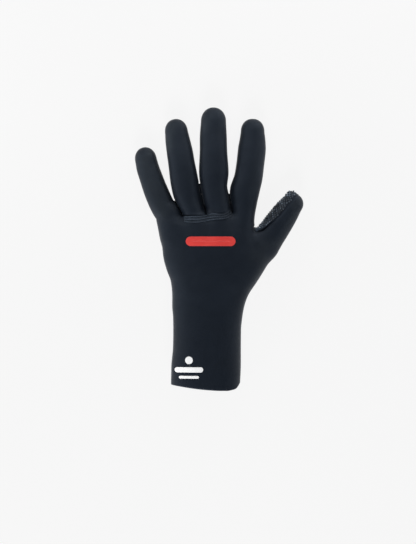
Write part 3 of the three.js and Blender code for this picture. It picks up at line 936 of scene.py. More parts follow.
OUT[:, 2] = np.maximum(OUT[:, 2], 0.02)
INN = P - N * WALL + N * (0.42 * rim)[:, None]

NAMES = {BACK: "back_panel", PALM_SIDE: "palm_panel", RING_BACK: "ring_finger_back", MIDDLE_BACK: "middle_finger_back",
         THUMB_FRONT: "thumb_front"}
PANELS = {}
RIM_STEPS = 5

for zone, name in NAMES.items():
    t = T[label == zone]
    e, tri, key = edge_table(t)
    once = np.ones(len(key), bool)
    same = key[1:] == key[:-1]
    once[1:] &= ~same
    once[:-1] &= ~same
    border = e[once]
    used, inverse = np.unique(t, return_inverse=True)
    t = inverse.reshape(t.shape)
    to = -np.ones(len(P), np.int64)
    to[used] = np.arange(len(used))
    border = to[border]
    n = len(used)
    outer, inner = OUT[used].copy(), INN[used].copy()
    rim_points = np.unique(border)
    # neighbouring panels keep a hair's breadth apart
    inward = np.zeros((n, 3))
    middle = P[used][t].mean(1)
    for k in range(3):
        np.add.at(inward, t[:, k], middle - P[used][t[:, k]])
    nn = N[used]
    inward -= nn * (inward * nn).sum(1)[:, None]
    inward /= np.maximum(np.linalg.norm(inward, axis=1), 1e-9)[:, None]
    joint = rim_points[from_hem[used][rim_points] > 0.05]
    outer[joint] += inward[joint] * SEAM_GAP
    inner[joint] += inward[joint] * SEAM_GAP
    pts = [outer, inner]
    back_to = -np.ones(n, np.int64)
    back_to[rim_points] = np.arange(len(rim_points))
    rows = [rim_points]
    at = 2 * n
    hem_rim = from_hem[used][rim_points] < 0.05
    for k in range(1, RIM_STEPS):
        w = k / RIM_STEPS
        q = outer[rim_points] * (1 - w) + inner[rim_points] * w
        bow = np.where(hem_rim, 0.06 * math.sin(math.pi * w), 0.0)
        q = q + np.column_stack([np.zeros(len(q)), bow, np.zeros(len(q))])
        pts.append(q)
        rows.append(at + np.arange(len(rim_points)))
        at += len(rim_points)
    rows.append(rim_points + n)
    quads, zones_rim = [], []
    a, b = back_to[border[:, 0]], back_to[border[:, 1]]
    for k in range(RIM_STEPS):
        quads.append(np.stack([rows[k][b], rows[k][a], rows[k + 1][a], rows[k + 1][b]], 1))
    quads = np.vstack(quads)
    points = np.vstack(pts)
    flat = flat_places(P[used], np.full(n, zone in (PALM_SIDE, THUMB_FRONT)))
    flat3 = np.column_stack([flat, np.zeros(n)])
    rim_flat = [flat3[rim_points] + np.array([0, 0, 3.0 * k / RIM_STEPS]) for k in range(1, RIM_STEPS)]
    flat_all = np.vstack([flat3, flat3 + np.array([0, 0, 5.0])] + rim_flat)
    worn = np.exp(-((near_seam[used] - 1.9) / 1.2) ** 2) * 0.6 + np.exp(-((from_hem[used] / 2.0) ** 2)) * 0.5
    worn_all = np.concatenate([worn, worn * 0] + [np.zeros(len(rim_points))] * (RIM_STEPS - 1))
    faces = [np.vstack([t, t[:, ::-1] + n]), quads]
    zones = np.concatenate([np.zeros(len(t)), np.ones(len(t)), np.full(len(quads), 2)])
    looks = {"flat": flat_all * 0.001, "worn": worn_all}
    # the pale attribute is painted light: the thumb strip's brightness factor, or the painted light strokes elsewhere
    pale = thumb_strip_painted_light(P[used]) if zone == THUMB_FRONT else painted_light_at(P[used])
    looks["pale"] = np.concatenate([pale, pale * 0] + [np.zeros(len(rim_points))] * (RIM_STEPS - 1))
    o = add_mesh("piece_" + name, points, faces, looks, zones)
    PANELS[name] = o
    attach(o, "root")
    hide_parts(name)
    print(name, len(points), "points", sum(len(f) * (f.shape[1] - 2) for f in faces), "triangles")

# ------------------------------------------------------------------ blind stitches over the seams

parts = []
for pair, run in SEAMS:
    if pair not in ((BACK, PALM_SIDE), (PALM_SIDE, RING_BACK), (PALM_SIDE, MIDDLE_BACK), (PALM_SIDE, THUMB_FRONT)):
        continue
    line = soften(run, 3)
    if np.linalg.norm(np.diff(line, axis=0), axis=1).sum() < 8:
        continue
    c = even_points(line, STITCH_PITCH)
    if len(c) < 4:
        continue
    tangent = np.gradient(c, axis=0)
    tangent /= np.maximum(np.linalg.norm(tangent, axis=1), 1e-9)[:, None]
    c, tangent = c[1:-1], tangent[1:-1]
    n = normal(c)
    across = np.cross(n, tangent)
    a = c + across * 1.25 - tangent * 0.55 + n * 0.02
    b = c - across * 1.25 + tangent * 0.55 + n * 0.02
    okay = c[:, 2] > 0.6
    a, b, n = a[okay], b[okay], n[okay]
    if len(a):
        parts.append(capsules(a, b, n, 0.17, rings=6, sides=5, arch=-0.10))
sp, sf = joined(parts)
sp[:, 2] = np.maximum(sp[:, 2], 0.02)
stitches = add_mesh("seam_stitches", sp, sf)
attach(stitches, "root")
print("stitches", len(sp))

# ------------------------------------------------------------------ the knuckle band


def curve2(points, n):
    pts = np.array(points, float)
    rows = np.column_stack([pts, np.zeros((len(pts), 3))])
    s = catmull(rows, 16)[:, :2]
    d = np.concatenate([[0], np.cumsum(np.linalg.norm(np.diff(s, axis=0), axis=1))])
    at = np.linspace(0, d[-1], n)
    return np.stack([np.interp(at, d, s[:, k]) for k in range(2)], 1), d[-1]


def on_top(xy, lift):
    p = top_of(xy)
    return p + normal(p) * (lift if np.isscalar(lift) else lift[:, None])


# Painted light and shade on the band's threads: brightness factors along x, lighter at the little-finger end, darker
# towards the thumb.
SHADE_X = (-33, -22, -14, -4, 1, 6, 12)
RIDGE_SHADE = [(1.45, 1.15, 0.85, 1.05, 0.68, 0.50, 0.42), (1.50, 1.22, 0.88, 1.00, 0.62, 0.48, 0.42),
               (0.85, 0.72, 0.85, 0.95, 0.72, 0.58, 0.46)]
rng = np.random.default_rng(11)
band_parts, shades = [], []
fine = [curve2(r, 121)[0] for r in RIDGES]
# base strip between and beside the ridges
NU, rows_across = 121, 13
grid = []
for k in range(rows_across):
    w = k / (rows_across - 1) * 2.3 - 0.15  # from beside the first ridge to beside the third
    if w <= 1:
        xy = fine[0] + (fine[1] - fine[0]) * w
    else:
        xy = fine[1] + (fine[2] - fine[1]) * (w - 1)
    lift = 0.34 * max(1 - abs(k / (rows_across - 1) * 2 - 1) ** 6, 0) + 0.02
    ends = np.ones(NU)
    ends[:3] = (0.3, 0.7, 0.9)
    ends[-3:] = (0.9, 0.7, 0.3)
    grid.append(on_top(xy, lift * ends))
grid = np.array(grid)
under = np.array([g - normal(g) * 0.75 for g in grid])
gp = np.vstack([grid.reshape(-1, 3), under.reshape(-1, 3)])
r, c = np.meshgrid(np.arange(rows_across - 1), np.arange(NU - 1), indexing="ij")
r, c = r.ravel(), c.ravel()
upper = np.stack([r * NU + c, (r + 1) * NU + c, (r + 1) * NU + c + 1, r * NU + c + 1], 1)
m = rows_across * NU
lower = upper[:, ::-1] + m
loop = np.concatenate([np.arange(NU), np.arange(1, rows_across) * NU + NU - 1, np.arange(NU - 2, -1, -1) + (rows_across - 1) * NU,
                       np.arange(rows_across - 2, 0, -1) * NU])
nxt = np.roll(loop, -1)
walls = np.stack([loop, nxt, nxt + m, loop + m], 1)
base_quads = np.vstack([upper, lower, walls])
band_parts.append((gp, base_quads, np.zeros((0, 3), int)))
shades.append(np.ones(len(gp)))

# the ridges: overlapping loops of thread
for k, pts in enumerate(RIDGES):
    length = curve2(pts, 8)[1]
    count = int(length / 1.9)
    xy, _ = curve2(pts, 2 * count + 1)
    p = on_top(xy, 0.42)
    n = normal(p)
    a, b, up = p[0:-2:2], p[2::2], n[1::2]
    side = np.cross(up, b - a)
    side /= np.linalg.norm(side, axis=1)[:, None]
    stretch = (b - a) * 0.16
    for sgn in (-1, 1):
        uneven = rng.uniform(-0.10, 0.10, (len(a), 1))
        band_parts.append(capsules(a - stretch + side * (0.26 * sgn + uneven), b + stretch + side * (0.10 * sgn - uneven), up,
                                   0.38, rings=7, sides=7, arch=0.22, flat=0.8))
        # painted light and shade along the ridge, with a random tone for each loop
        dim = np.interp((a[:, 0] + b[:, 0]) / 2, SHADE_X, RIDGE_SHADE[k]) * rng.uniform(0.85, 1.15, len(a))
        shades.append(np.repeat(dim, 7 * 7 + 2))
# thin threads across, from ridge to ridge
for k in range(2):
    count = 46
    a2, _ = curve2(RIDGES[k], 2 * count + 1)
    b2, _ = curve2(RIDGES[k + 1], 2 * count + 1)
    for da, db in ((0, 1), (1, 0)):
        a = on_top(a2[da::2][:count], 0.36)
        b = on_top(b2[db::2][:count], 0.36)
        mid = (a + b) / 2
        band_parts.append(capsules(a, b, normal(mid), 0.17, rings=5, sides=5, arch=0.18))
        # painted shade, darker towards the thumb side
        shades.append(np.repeat(np.interp(mid[:, 0], SHADE_X, (1.0, 0.8, 0.7, 0.7, 0.5, 0.4, 0.35)), 5 * 5 + 2))
bp, bf = joined(band_parts)
strip = np.concatenate([np.arange(len(bf[0])) < len(base_quads), np.zeros(len(bf[1]), bool)])
band_flat = np.column_stack([bp[:, :2], np.zeros(len(bp))]) * 0.001
band = add_mesh("piece_knuckle_seam_band", bp, bf, {"flat": band_flat, "worn": np.zeros(len(bp)), "painted_shading": np.concatenate(shades)},
                np.where(strip, 1, 0))
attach(band, "root")
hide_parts("knuckle_seam_band")
print("band", len(bp))

# ------------------------------------------------------------------ the printed films


def film(name, node, x, y, length, width, thick=0.16):
    """A bar with round ends that follows the back, a little proud, with soft edges."""
    r = width / 2
    half = length / 2 - r
    rings, around = 14, 96
    if half > 0:
        around = 160
    a = np.linspace(0, 2 * np.pi, around, endpoint=False)
    # points evenly spaced round the outline
    straight = 2 * half
    total = 2 * straight + 2 * np.pi * r
    s = np.linspace(0, total, around, endpoint=False)
    outline = []
    for q in s:
        if q < straight:
            outline.append((-half + q, -r))
        elif q < straight + np.pi * r:
            t = (q - straight) / r - np.pi / 2
            outline.append((half + r * math.cos(t), r * math.sin(t)))
        elif q < 2 * straight + np.pi * r:
            outline.append((half - (q - straight - np.pi * r), r))
        else:
            t = (q - 2 * straight - np.pi * r) / r + np.pi / 2
            outline.append((-half + r * math.cos(t), r * math.sin(t)))
    outline = np.array(outline)
    spine = np.column_stack([np.clip(outline[:, 0], -half, half), np.zeros(around)])
    spine[:, 0] = outline[:, 0] * (half / (length / 2) if half > 0 else 0)
    steps = np.concatenate([np.linspace(0, 0.93, rings - 3), [0.97, 0.992, 1.0]])
    lift = np.concatenate([np.full(rings - 3, thick), [thick * 0.95, thick * 0.65, 0.0]])
    rows = []
    for w, h in zip(steps, lift):
        xy = spine * (1 - w) + outline * w
        rows.append(on_top(xy + np.array([x, y]), np.full(around, h)))
    # closed underneath
    for w in (1.0, 0.6, 0.0):
        xy = spine * (1 - w) + outline * w
        rows.append(on_top(xy + np.array([x, y]), np.full(around, -0.25)))
    p = np.vstack(rows)
    quads = []
    j = np.arange(around)
    for k in range(len(rows) - 1):
        quads.append(np.stack([k * around + j, (k + 1) * around + j, (k + 1) * around + (j + 1) % around, k * around + (j + 1) % around], 1))
    # middle seam of the first and last rings: close along the spine
    tris = []
    for first, flip in ((0, False), ((len(rows) - 1) * around, True)):
        if half > 0:
            o = np.arange(around)
            left = first + o[: around // 2]
            right = first + (around - 1 - o)[: around // 2]
            q = np.stack([left[:-1], right[:-1], right[1:], left[1:]], 1)
            quads.append(q if flip else q[:, ::-1])
        else:
            f = np.stack([np.full(around - 2, first), first + np.arange(1, around - 1), first + np.arange(2, around)], 1)
            tris.append(f[:, ::-1] if flip else f)
    faces = [np.vstack(quads)] + ([np.vstack(tris)] if tris else [])
    o = add_mesh("piece_" + node, p, faces, {"flat": np.column_stack([p[:, :2], np.zeros(len(p))]) * 0.001})
    weld(o)
    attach(o, "root")
    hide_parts(node)
    return o


def weld(o, distance=1e-6):
    import bmesh
    bm = bmesh.new()
    bm.from_mesh(o.data)
    bmesh.ops.remove_doubles(bm, verts=bm.verts, dist=distance)
    bmesh.ops.dissolve_degenerate(bm, edges=bm.edges, dist=1e-7)
    bmesh.ops.recalc_face_normals(bm, faces=bm.faces)
    for f in bm.faces:
        f.smooth = True
    bm.to_mesh(o.data)
    bm.free()


back_mark = film("back", "back_mark", *BACK_MARK)
cuff_disc = film("disc", "cuff_mark_disc", *CUFF_DISC)
cuff_bar = film("bar", "cuff_mark_bar", *CUFF_BAR)
cuff_line = film("line", "cuff_mark_line", *CUFF_LINE)

# ------------------------------------------------------------------ the raised grip print


def grip(name, zone, pitch, keep, size=0.44, height=0.30, margin=1.7, uneven=0.0, shade=None):
    """Small rubber pads on a six-sided grid of the flat pattern."""
    t = T[label == zone]
    used, inverse = np.unique(t, return_inverse=True)
    t = inverse.reshape(t.shape)
    p, out = P[used], OUT[used]
    flat = flat_places(p, np.full(len(p), True))
    row = pitch * math.sqrt(3) / 2
    a, b, c = flat[t[:, 0]], flat[t[:, 1]], flat[t[:, 2]]
    found = []
    mid = (a + b + c) / 3
    base_v = np.floor(mid[:, 1] / row).astype(int)
    for dv in (-1, 0, 1, 2):
        vi = base_v + dv
        shift = np.where(vi % 2, pitch / 2, 0)
        ui0 = np.rint((mid[:, 0] - shift) / pitch).astype(int)
        for du in (-1, 0, 1):
            ui = ui0 + du
            q = np.column_stack([ui * pitch + shift, vi * row])
            ab, ac, aq = b - a, c - a, q - a
            det = ab[:, 0] * ac[:, 1] - ab[:, 1] * ac[:, 0]
            det = np.where(np.abs(det) < 1e-9, 1e9, det)
            l1 = (aq[:, 0] * ac[:, 1] - aq[:, 1] * ac[:, 0]) / det
            l2 = (ab[:, 0] * aq[:, 1] - ab[:, 1] * aq[:, 0]) / det
            inside = (l1 >= 0) & (l2 >= 0) & (l1 + l2 <= 1)
            w = np.nonzero(inside)[0]
            pos = out[t[w, 0]] * (1 - l1[w] - l2[w])[:, None] + out[t[w, 1]] * l1[w][:, None] + out[t[w, 2]] * l2[w][:, None]
            on = p[t[w, 0]] * (1 - l1[w] - l2[w])[:, None] + p[t[w, 1]] * l1[w][:, None] + p[t[w, 2]] * l2[w][:, None]
            found.append(np.column_stack([pos, on, ui[w], vi[w]]))
    f = np.vstack(found)
    d = to_seam(f[:, 3:6])
    f = f[(d > margin) & keep(f[:, 3:6])]
    # no two pads closer than most of a pitch
    kd = kdtree.KDTree(len(f))
    for i, q in enumerate(f):
        kd.insert(q[:3], i)
    kd.balance()
    gone = np.zeros(len(f), bool)
    for i, q in enumerate(f):
        if gone[i]:
            continue
        for _, j, _ in kd.find_range(q[:3], pitch * 0.70):
            if j > i:
                gone[j] = True
    f = f[~gone]
    pos, n = f[:, :3], normal(f[:, 3:6])
    ref = np.where(np.abs(n[:, 1:2]) < 0.9, np.array([[0.0, 1.0, 0.0]]), np.array([[1.0, 0.0, 0.0]]))
    u = np.cross(ref, n)
    u /= np.linalg.norm(u, axis=1)[:, None]
    w = np.cross(n, u)
    sides, pts = 6, []
    tall = 1 + uneven * np.random.default_rng(5).uniform(-1.0, 1.0, (len(pos), 1)) * (1 + 2.2 * smooth(0.75 - n[:, 2:3], 0.0, 0.5))
    tall = np.clip(tall, 0.35, 2.3)
    for r, h in ((size * pitch, -0.12), (size * pitch * 0.96, 0.5 * height), (size * pitch * 0.74, height)):
        for j in range(sides):
            ang = 2 * math.pi * (j + 0.5) / sides
            pts.append(pos + (u * math.cos(ang) + w * math.sin(ang)) * r + n * (h * tall if h > 0 else h))
    pts.append(pos + n * height * 1.06 * tall)
    pts.append(pos - n * 0.14)
    q = np.stack(pts, 1).reshape(-1, 3)
    per = len(pts)
    quads, tris = [], []
    for k in range(2):
        for j in range(sides):
            i0, i1 = k * sides + j, k * sides + (j + 1) % sides
            quads.append((i0, i1, i1 + sides, i0 + sides))
    for j in range(sides):
        tris.append((3 * sides, 2 * sides + j, 2 * sides + (j + 1) % sides))
        tris.append((3 * sides + 1, (j + 1) % sides, j))
    base = (np.arange(len(pos)) * per)[:, None, None]
    q[:, 2] = np.maximum(q[:, 2], 0.0)
    # painted glints: each pad's brightness factor, where a shade function is given
    looks = {"painted_shading": np.repeat(shade(pos), per)} if shade else None
    o = add_mesh(name, q, [(np.array(quads)[None] + base).reshape(-1, 4), (np.array(tris)[None] + base).reshape(-1, 3)], looks)
    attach(o, "root")
    print(name, len(pos), "pads")
    return o


def palm_keep(p):
    return (p[:, 1] > -72.0 + 0.0 * p[:, 0]) & (side_of_seam(p) < -2.0)


palm_grip = grip("palm_grip", PALM_SIDE, GRIP_PITCH, palm_keep)
thumb_grip = grip("thumb_grip", THUMB_FRONT, 2.3, lambda p: p[:, 2] > 0.3, size=0.35, height=0.42, margin=0.7, uneven=0.6,
                  shade=glints_at)

# ------------------------------------------------------------------ materials


class Nodes:
    def __init__(self, name):
        self.mat = bpy.data.materials.new(name)
        self.mat.use_nodes = True
        self.t = self.mat.node_tree
        self.t.nodes.clear()
        self.out = self.t.nodes.new("ShaderNodeOutputMaterial")
        self.b = self.t.nodes.new("ShaderNodeBsdfPrincipled")
        self.t.links.new(self.b.outputs[0], self.out.inputs[0])

    def new(self, kind, **props):
        n = self.t.nodes.new(kind)
        for k, v in props.items():
            setattr(n, k, v)
        return n

    def link(self, a, b):
        self.t.links.new(a, b)

    def math(self, op, a, b=None, clamp=False):
        n = self.new("ShaderNodeMath", operation=op, use_clamp=clamp)
        for i, v in enumerate((a, b)):
            if v is None:
                continue
            if hasattr(v, "links") or hasattr(v, "is_linked"):
                self.link(v, n.inputs[i])
            else:
                n.inputs[i].default_value = v
        return n.outputs[0]

    def attribute(self, name):
        return self.new("ShaderNodeAttribute", attribute_name=name)

    def noise(self, vector, scale, detail=3.0, rough=0.55, kind="3D"):
        n = self.new("ShaderNodeTexNoise", noise_dimensions=kind)
        n.inputs["Scale"].default_value = scale
        n.inputs["Detail"].default_value = detail
        n.inputs["Roughness"].default_value = rough
        self.link(vector, n.inputs["Vector"])
        return n.outputs["Fac"]

    def voronoi(self, vector, scale, feature="F1"):
        n = self.new("ShaderNodeTexVoronoi", feature=feature)
        n.inputs["Scale"].default_value = scale
        self.link(vector, n.inputs["Vector"])
        return n.outputs["Distance"]

    def ramp(self, fac, stops):
        n = self.new("ShaderNodeValToRGB")
        n.color_ramp.elements[0].position, n.color_ramp.elements[0].color = stops[0][0], (*stops[0][1], 1)
        n.color_ramp.elements[1].position, n.color_ramp.elements[1].color = stops[-1][0], (*stops[-1][1], 1)
        for pos, col in stops[1:-1]:
            e = n.color_ramp.elements.new(pos)
            e.color = (*col, 1)
        self.link(fac, n.inputs[0])
        return n.outputs[0]

    def mix(self, fac, a, b, mode="MIX"):
        n = self.new("ShaderNodeMix", data_type="RGBA", blend_type=mode)
        for i, v in ((0, fac), (6, a), (7, b)):
            if hasattr(v, "is_linked"):
                self.link(v, n.inputs[i])
            elif i == 0:
                n.inputs[i].default_value = v
            else:
                n.inputs[i].default_value = (*v, 1)
        return n.outputs[2]

    def range(self, v, a, b, c, d):
        n = self.new("ShaderNodeMapRange")
        for i, x in enumerate((a, b, c, d), 1):
            n.inputs[i].default_value = x
        self.link(v, n.inputs[0])
        return n.outputs[0]

    def bump(self, height, strength, distance, normal_in=None):
        n = self.new("ShaderNodeBump")
        n.inputs["Strength"].default_value = strength
        n.inputs["Distance"].default_value = distance
        self.link(height, n.inputs["Height"])
        if normal_in is not None:
            self.link(normal_in, n.inputs["Normal"])
        return n.outputs[0]

    def set(self, **values):
        for k, v in values.items():
            self.b.inputs[k.replace("_", " ")].default_value = v


def knit_height(m, vector, wale, course):
    """Columns of small V shapes, as a fine jersey has. vector in metres."""
    sep = m.new("ShaderNodeSeparateXYZ")
    m.link(vector, sep.inputs[0])
    u = m.math("MULTIPLY", sep.outputs[0], 1.0 / wale)
    v = m.math("MULTIPLY", sep.outputs[1], 1.0 / course)
    tri = m.math("ABSOLUTE", m.math("SUBTRACT", m.math("FRACT", u), 0.5))
    column = m.math("SINE", m.math("MULTIPLY", m.math("FRACT", u), math.pi))
    shifted = m.math("ADD", v, m.math("MULTIPLY", tri, 1.1))
    loops = m.math("ADD", m.math("MULTIPLY", m.math("SINE", m.math("MULTIPLY", shifted, 2 * math.pi)), 0.5), 0.5)
    return m.math("ADD", m.math("MULTIPLY", column, 0.6), m.math("MULTIPLY", loops, 0.4))


def jersey(name, dark, light, wale=0.00078, course=0.00062, sheen=0.10, rough=0.60, strength=0.35, painted_light_added=False,
           scaled_by_painted_light=False):
    m = Nodes(name)
    flat = m.attribute("flat").outputs["Vector"]
    obj = m.new("ShaderNodeTexCoord").outputs["Object"]
    worn = m.attribute("worn").outputs["Fac"]
    knit = knit_height(m, flat, wale, course)
    cloud = m.noise(obj, 38.0, 4.0, 0.6)
    fuzz = m.noise(obj, 1500.0, 2.0, 0.6)
    base = m.ramp(cloud, [(0.30, dark), (0.72, light)])
    thread = m.mix(m.range(knit, 0.1, 0.9, 0.0, 1.0), (0.72, 0.72, 0.72), (1.22, 1.22, 1.22))
    col = m.mix(1.0, base, thread, "MULTIPLY")
    speck = m.mix(m.range(fuzz, 0.35, 0.75, 0.0, 1.0), (0.86, 0.86, 0.86), (1.16, 1.16, 1.16))
    col = m.mix(1.0, col, speck, "MULTIPLY")
    # painted light: the colour is scaled by the thumb strip's brightness factor
    if scaled_by_painted_light:
        times = m.new("ShaderNodeVectorMath", operation="SCALE")
        m.link(col, times.inputs[0])
        m.link(m.attribute("pale").outputs["Fac"], times.inputs["Scale"])
        col = times.outputs[0]
    pale = tuple(min(c * 1.9 + 0.002, 1) for c in light)
    col = m.mix(m.math("MULTIPLY", worn, 0.35), col, pale)
    # painted light: a pale grey added where the painted light strokes lie, mottled by noise
    if painted_light_added:
        amount = m.math("MULTIPLY", m.attribute("pale").outputs["Fac"], m.range(m.noise(obj, 90.0), 0.3, 0.7, 0.85, 1.15))
        col = m.mix(amount, col, (0.0092, 0.0100, 0.0093), "ADD")
    m.link(col, m.b.inputs["Base Color"])
    m.link(m.range(m.noise(obj, 120.0), 0.3, 0.7, rough - 0.05, rough + 0.05), m.b.inputs["Roughness"])
    n1 = m.bump(m.noise(obj, 260.0, 3.0, 0.6), 0.25, 0.00025)
    n2 = m.bump(knit, strength, 0.00010, n1)
    m.link(m.bump(fuzz, 0.22, 0.00006, n2), m.b.inputs["Normal"])
    m.set(Sheen_Weight=sheen, Sheen_Roughness=0.30, Sheen_Tint=(0.86, 0.93, 1.0, 1.0), Specular_IOR_Level=0.36,
          Specular_Tint=(0.68, 0.81, 1.0, 1.0))
    return m.mat


def foam(name):
    m = Nodes(name)
    obj = m.new("ShaderNodeTexCoord").outputs["Object"]
    cells = m.voronoi(obj, 2600.0)
    flat = m.attribute("flat").outputs["Vector"]
    sep = m.new("ShaderNodeSeparateXYZ")
    m.link(flat, sep.inputs[0])
    col = m.ramp(cells, [(0.05, (0.010, 0.011, 0.013)), (0.5, (0.030, 0.032, 0.036))])
    m.link(col, m.b.inputs["Base Color"])
    m.link(m.range(cells, 0.0, 0.6, 0.65, 0.85), m.b.inputs["Roughness"])
    m.link(m.bump(cells, 0.6, 0.00018), m.b.inputs["Normal"])
    m.set(Specular_IOR_Level=0.25)
    return m.mat


def rubber(name, dark, light, painted_shading=False):
    m = Nodes(name)
    obj = m.new("ShaderNodeTexCoord").outputs["Object"]
    base = m.ramp(m.noise(obj, 90.0, 4.0), [(0.35, dark), (0.7, light)])
    # painted glints and light: the colour is scaled by a per-pad brightness attribute
    if painted_shading:
        times = m.new("ShaderNodeVectorMath", operation="SCALE")
        m.link(base, times.inputs[0])
        m.link(m.attribute("painted_shading").outputs["Fac"], times.inputs["Scale"])
        base = times.outputs[0]
    m.link(base, m.b.inputs["Base Color"])
    m.link(m.range(m.noise(obj, 420.0), 0.3, 0.7, 0.30, 0.50), m.b.inputs["Roughness"])
    m.link(m.bump(m.noise(obj, 2200.0, 2.0), 0.25, 0.00005), m.b.inputs["Normal"])
    m.set(Specular_IOR_Level=0.5, Specular_Tint=(0.80, 0.90, 1.0, 1.0), Sheen_Weight=0.12, Sheen_Roughness=0.5)
    return m.mat


def yarn(name, dark, light, sheen=0.5, painted_shading=False):
    m = Nodes(name)
    obj = m.new("ShaderNodeTexCoord").outputs["Object"]
    w = m.new("ShaderNodeTexWave", wave_type="BANDS", bands_direction="DIAGONAL")
    w.inputs["Scale"].default_value = 900.0
    w.inputs["Distortion"].default_value = 2.5
    w.inputs["Detail"].default_value = 2.0
    m.link(obj, w.inputs["Vector"])
    ply = w.outputs["Fac"]
    cloud = m.noise(obj, 160.0, 3.0)
    base = m.ramp(cloud, [(0.3, dark), (0.7, light)])
    shade = m.mix(ply, (0.78, 0.78, 0.78), (1.18, 1.18, 1.18))
    col = m.mix(1.0, base, shade, "MULTIPLY")
    # painted light and shade: the thread colour is darkened by a per-thread factor
    if painted_shading:
        col = m.mix(m.attribute("painted_shading").outputs["Fac"], (0.0, 0.0, 0.0), col)
    m.link(col, m.b.inputs["Base Color"])
    m.link(m.range(cloud, 0.3, 0.7, 0.55, 0.72), m.b.inputs["Roughness"])
    m.link(m.bump(ply, 0.5, 0.00012), m.b.inputs["Normal"])
    m.set(Sheen_Weight=sheen, Sheen_Roughness=0.4, Sheen_Tint=(0.75, 0.87, 1.0, 1.0), Specular_IOR_Level=0.35,
          Specular_Tint=(0.66, 0.80, 1.0, 1.0))
    return m.mat


def print_film(name, dark, light):
    m = Nodes(name)
    obj = m.new("ShaderNodeTexCoord").outputs["Object"]
    flat = m.attribute("flat").outputs["Vector"]
    knit = knit_height(m, flat, 0.00078, 0.00062)
    cloud = m.noise(obj, 55.0, 4.0)
    col = m.ramp(cloud, [(0.3, dark), (0.7, light)])
    shade = m.mix(m.range(knit, 0.1, 0.9, 0.0, 1.0), (0.95, 0.95, 0.95), (1.03, 1.03, 1.03))
    m.link(m.mix(1.0, col, shade, "MULTIPLY"), m.b.inputs["Base Color"])
    m.link(m.range(m.noise(obj, 300.0), 0.3, 0.7, 0.42, 0.56), m.b.inputs["Roughness"])
    n1 = m.bump(m.noise(obj, 400.0, 3.0), 0.2, 0.0001)
    m.link(m.bump(knit, 0.25, 0.00006, n1), m.b.inputs["Normal"])
    m.set(Specular_IOR_Level=0.4)
    return m.mat


nylon = jersey("nylon_jersey", (0.0015, 0.0034, 0.0074), (0.0021, 0.0046, 0.0096), painted_light_added=True)
lining = jersey("lining_jersey", (0.0050, 0.0062, 0.0082), (0.0080, 0.0095, 0.0120), wale=0.0010, course=0.0008)
grip_cloth = jersey("grip_cloth", (0.0030, 0.0048, 0.0080), (0.0046, 0.0066, 0.0104))
thumb_cloth = jersey("thumb_cloth", (0.0055, 0.0080, 0.0120), (0.0085, 0.0120, 0.0180), strength=0.6, scaled_by_painted_light=True)
core = foam("foam_core")
pads = rubber("grip_rubber", (0.020, 0.025, 0.033), (0.040, 0.047, 0.060))
thumb_pads = rubber("thumb_rubber", (0.030, 0.040, 0.054), (0.064, 0.081, 0.105), painted_shading=True)
thread = yarn("band_thread", (0.026, 0.035, 0.049), (0.039, 0.051, 0.070), sheen=0.15, painted_shading=True)
stitch_thread = yarn("stitch_thread", (0.006, 0.008, 0.012), (0.012, 0.015, 0.020), sheen=0.2)
red = print_film("red_print", (0.66, 0.040, 0.036), (0.76, 0.060, 0.050))
white = print_film("white_print", (0.90, 0.91, 0.92), (0.96, 0.96, 0.96))

for name, o in PANELS.items():
    face = {"palm_panel": grip_cloth, "thumb_front": thumb_cloth}.get(name, nylon)
    for mat in (face, lining, core):
        o.data.materials.append(mat)
for o, mat, slot in (
    (stitches, stitch_thread, "seam_thread"), (band, thread, "seam_thread"), (back_mark, red, "red_film"),
    (cuff_disc, white, "white_film"), (cuff_bar, white, "white_film"), (cuff_line, white, "white_film"),
    (palm_grip, pads, "grip_neoprene"), (thumb_grip, thumb_pads, "grip_neoprene"),
):
    o.data.materials.append(mat)
band.data.materials.append(nylon)

# ------------------------------------------------------------------ floor, light, camera

floor_mesh = bpy.data.meshes.new("floor")
s = 3.0
floor_mesh.from_pydata([(-s, -s, -0.0006), (s, -s, -0.0006), (s, s, -0.0006), (-s, s, -0.0006)], [], [(0, 1, 2, 3)])
floor = bpy.data.objects.new("floor", floor_mesh)
bpy.context.scene.collection.objects.link(floor)
fm = Nodes("pale_floor")
obj = fm.new("ShaderNodeTexCoord").outputs["Object"]
fm.link(fm.ramp(fm.noise(obj, 3.0), [(0.3, (0.045, 0.045, 0.045)), (0.7, (0.05, 0.05, 0.05))]), fm.b.inputs["Base Color"])
fm.set(Roughness=0.9, Specular_IOR_Level=0.1, Emission_Color=(1, 1, 1, 1), Emission_Strength=0.878)
floor_mesh.materials.append(fm.mat)


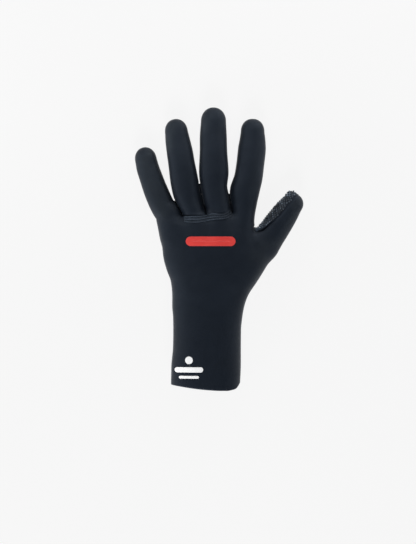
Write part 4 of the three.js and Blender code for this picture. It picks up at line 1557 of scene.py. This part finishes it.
def disk_light(name, azimuth, elevation, distance, size, power):
    """A round soft light that looks at the middle of the glove. azimuth: from +Y towards +X, in degrees."""
    a, e = math.radians(azimuth), math.radians(elevation)
    d = Vector((math.sin(a) * math.cos(e), math.cos(a) * math.cos(e), math.sin(e)))
    light = bpy.data.lights.new(name, "AREA")
    light.shape = "DISK"
    light.size = size
    light.energy = power
    o = bpy.data.objects.new(name, light)
    o.location = d * distance
    o.rotation_mode = "QUATERNION"
    o.rotation_quaternion = (-d).to_track_quat("-Z", "Y")
    o.visible_camera = False
    bpy.context.scene.collection.objects.link(o)


disk_light("front_fill", 180, 35, 1.7, 0.7, 23.6)
disk_light("front_left", 225, 12, 1.7, 0.7, 13.6)
disk_light("far_right", 45, 35, 1.7, 0.7, 1.0)
disk_light("tips_low", 0, 14, 0.5, 0.25, 0.26)
disk_light("tips_right", 30, 14, 0.5, 0.25, 0.68)
disk_light("thumb_side", 76, 14, 0.5, 0.25, 0.38)
disk_light("little_side", 270, 14, 0.5, 0.25, 0.20)
disk_light("tips_left", 300, 14, 0.5, 0.25, 0.60)
disk_light("tips_high", 345, 38, 0.5, 0.25, 0.58)
disk_light("thumb_high", 90, 38, 0.5, 0.25, 0.09)
disk_light("little_high", 300, 38, 0.5, 0.25, 0.12)

world = bpy.data.worlds.new("studio")
world.use_nodes = True
world.node_tree.nodes["Background"].inputs[0].default_value = (0.95, 0.97, 1.0, 1)
world.node_tree.nodes["Background"].inputs[1].default_value = 0.02
bpy.context.scene.world = world

scene = bpy.context.scene
scene.view_settings.view_transform = "Standard"
scene.view_settings.look = "None"
scene.view_settings.exposure = 0.0
scene.view_settings.gamma = 1.0

cam_data = bpy.data.cameras.new("camera")
cam_data.lens = 240.0
cam_data.sensor_width = 36.0
cam_data.sensor_fit = "AUTO"
cam = bpy.data.objects.new("camera", cam_data)
LEVEL = 0.018  # height of the outline's widest parts
SPAN = 0.5168  # what the frame's long side shows there
cam.location = (-0.01040, -0.02204, LEVEL + SPAN * 240.0 / 36.0)
cam.rotation_euler = (0, 0, 0)
cam_data.clip_start, cam_data.clip_end = 0.05, 20
scene.collection.objects.link(cam)
scene.camera = cam

bpy.context.view_layer.update()
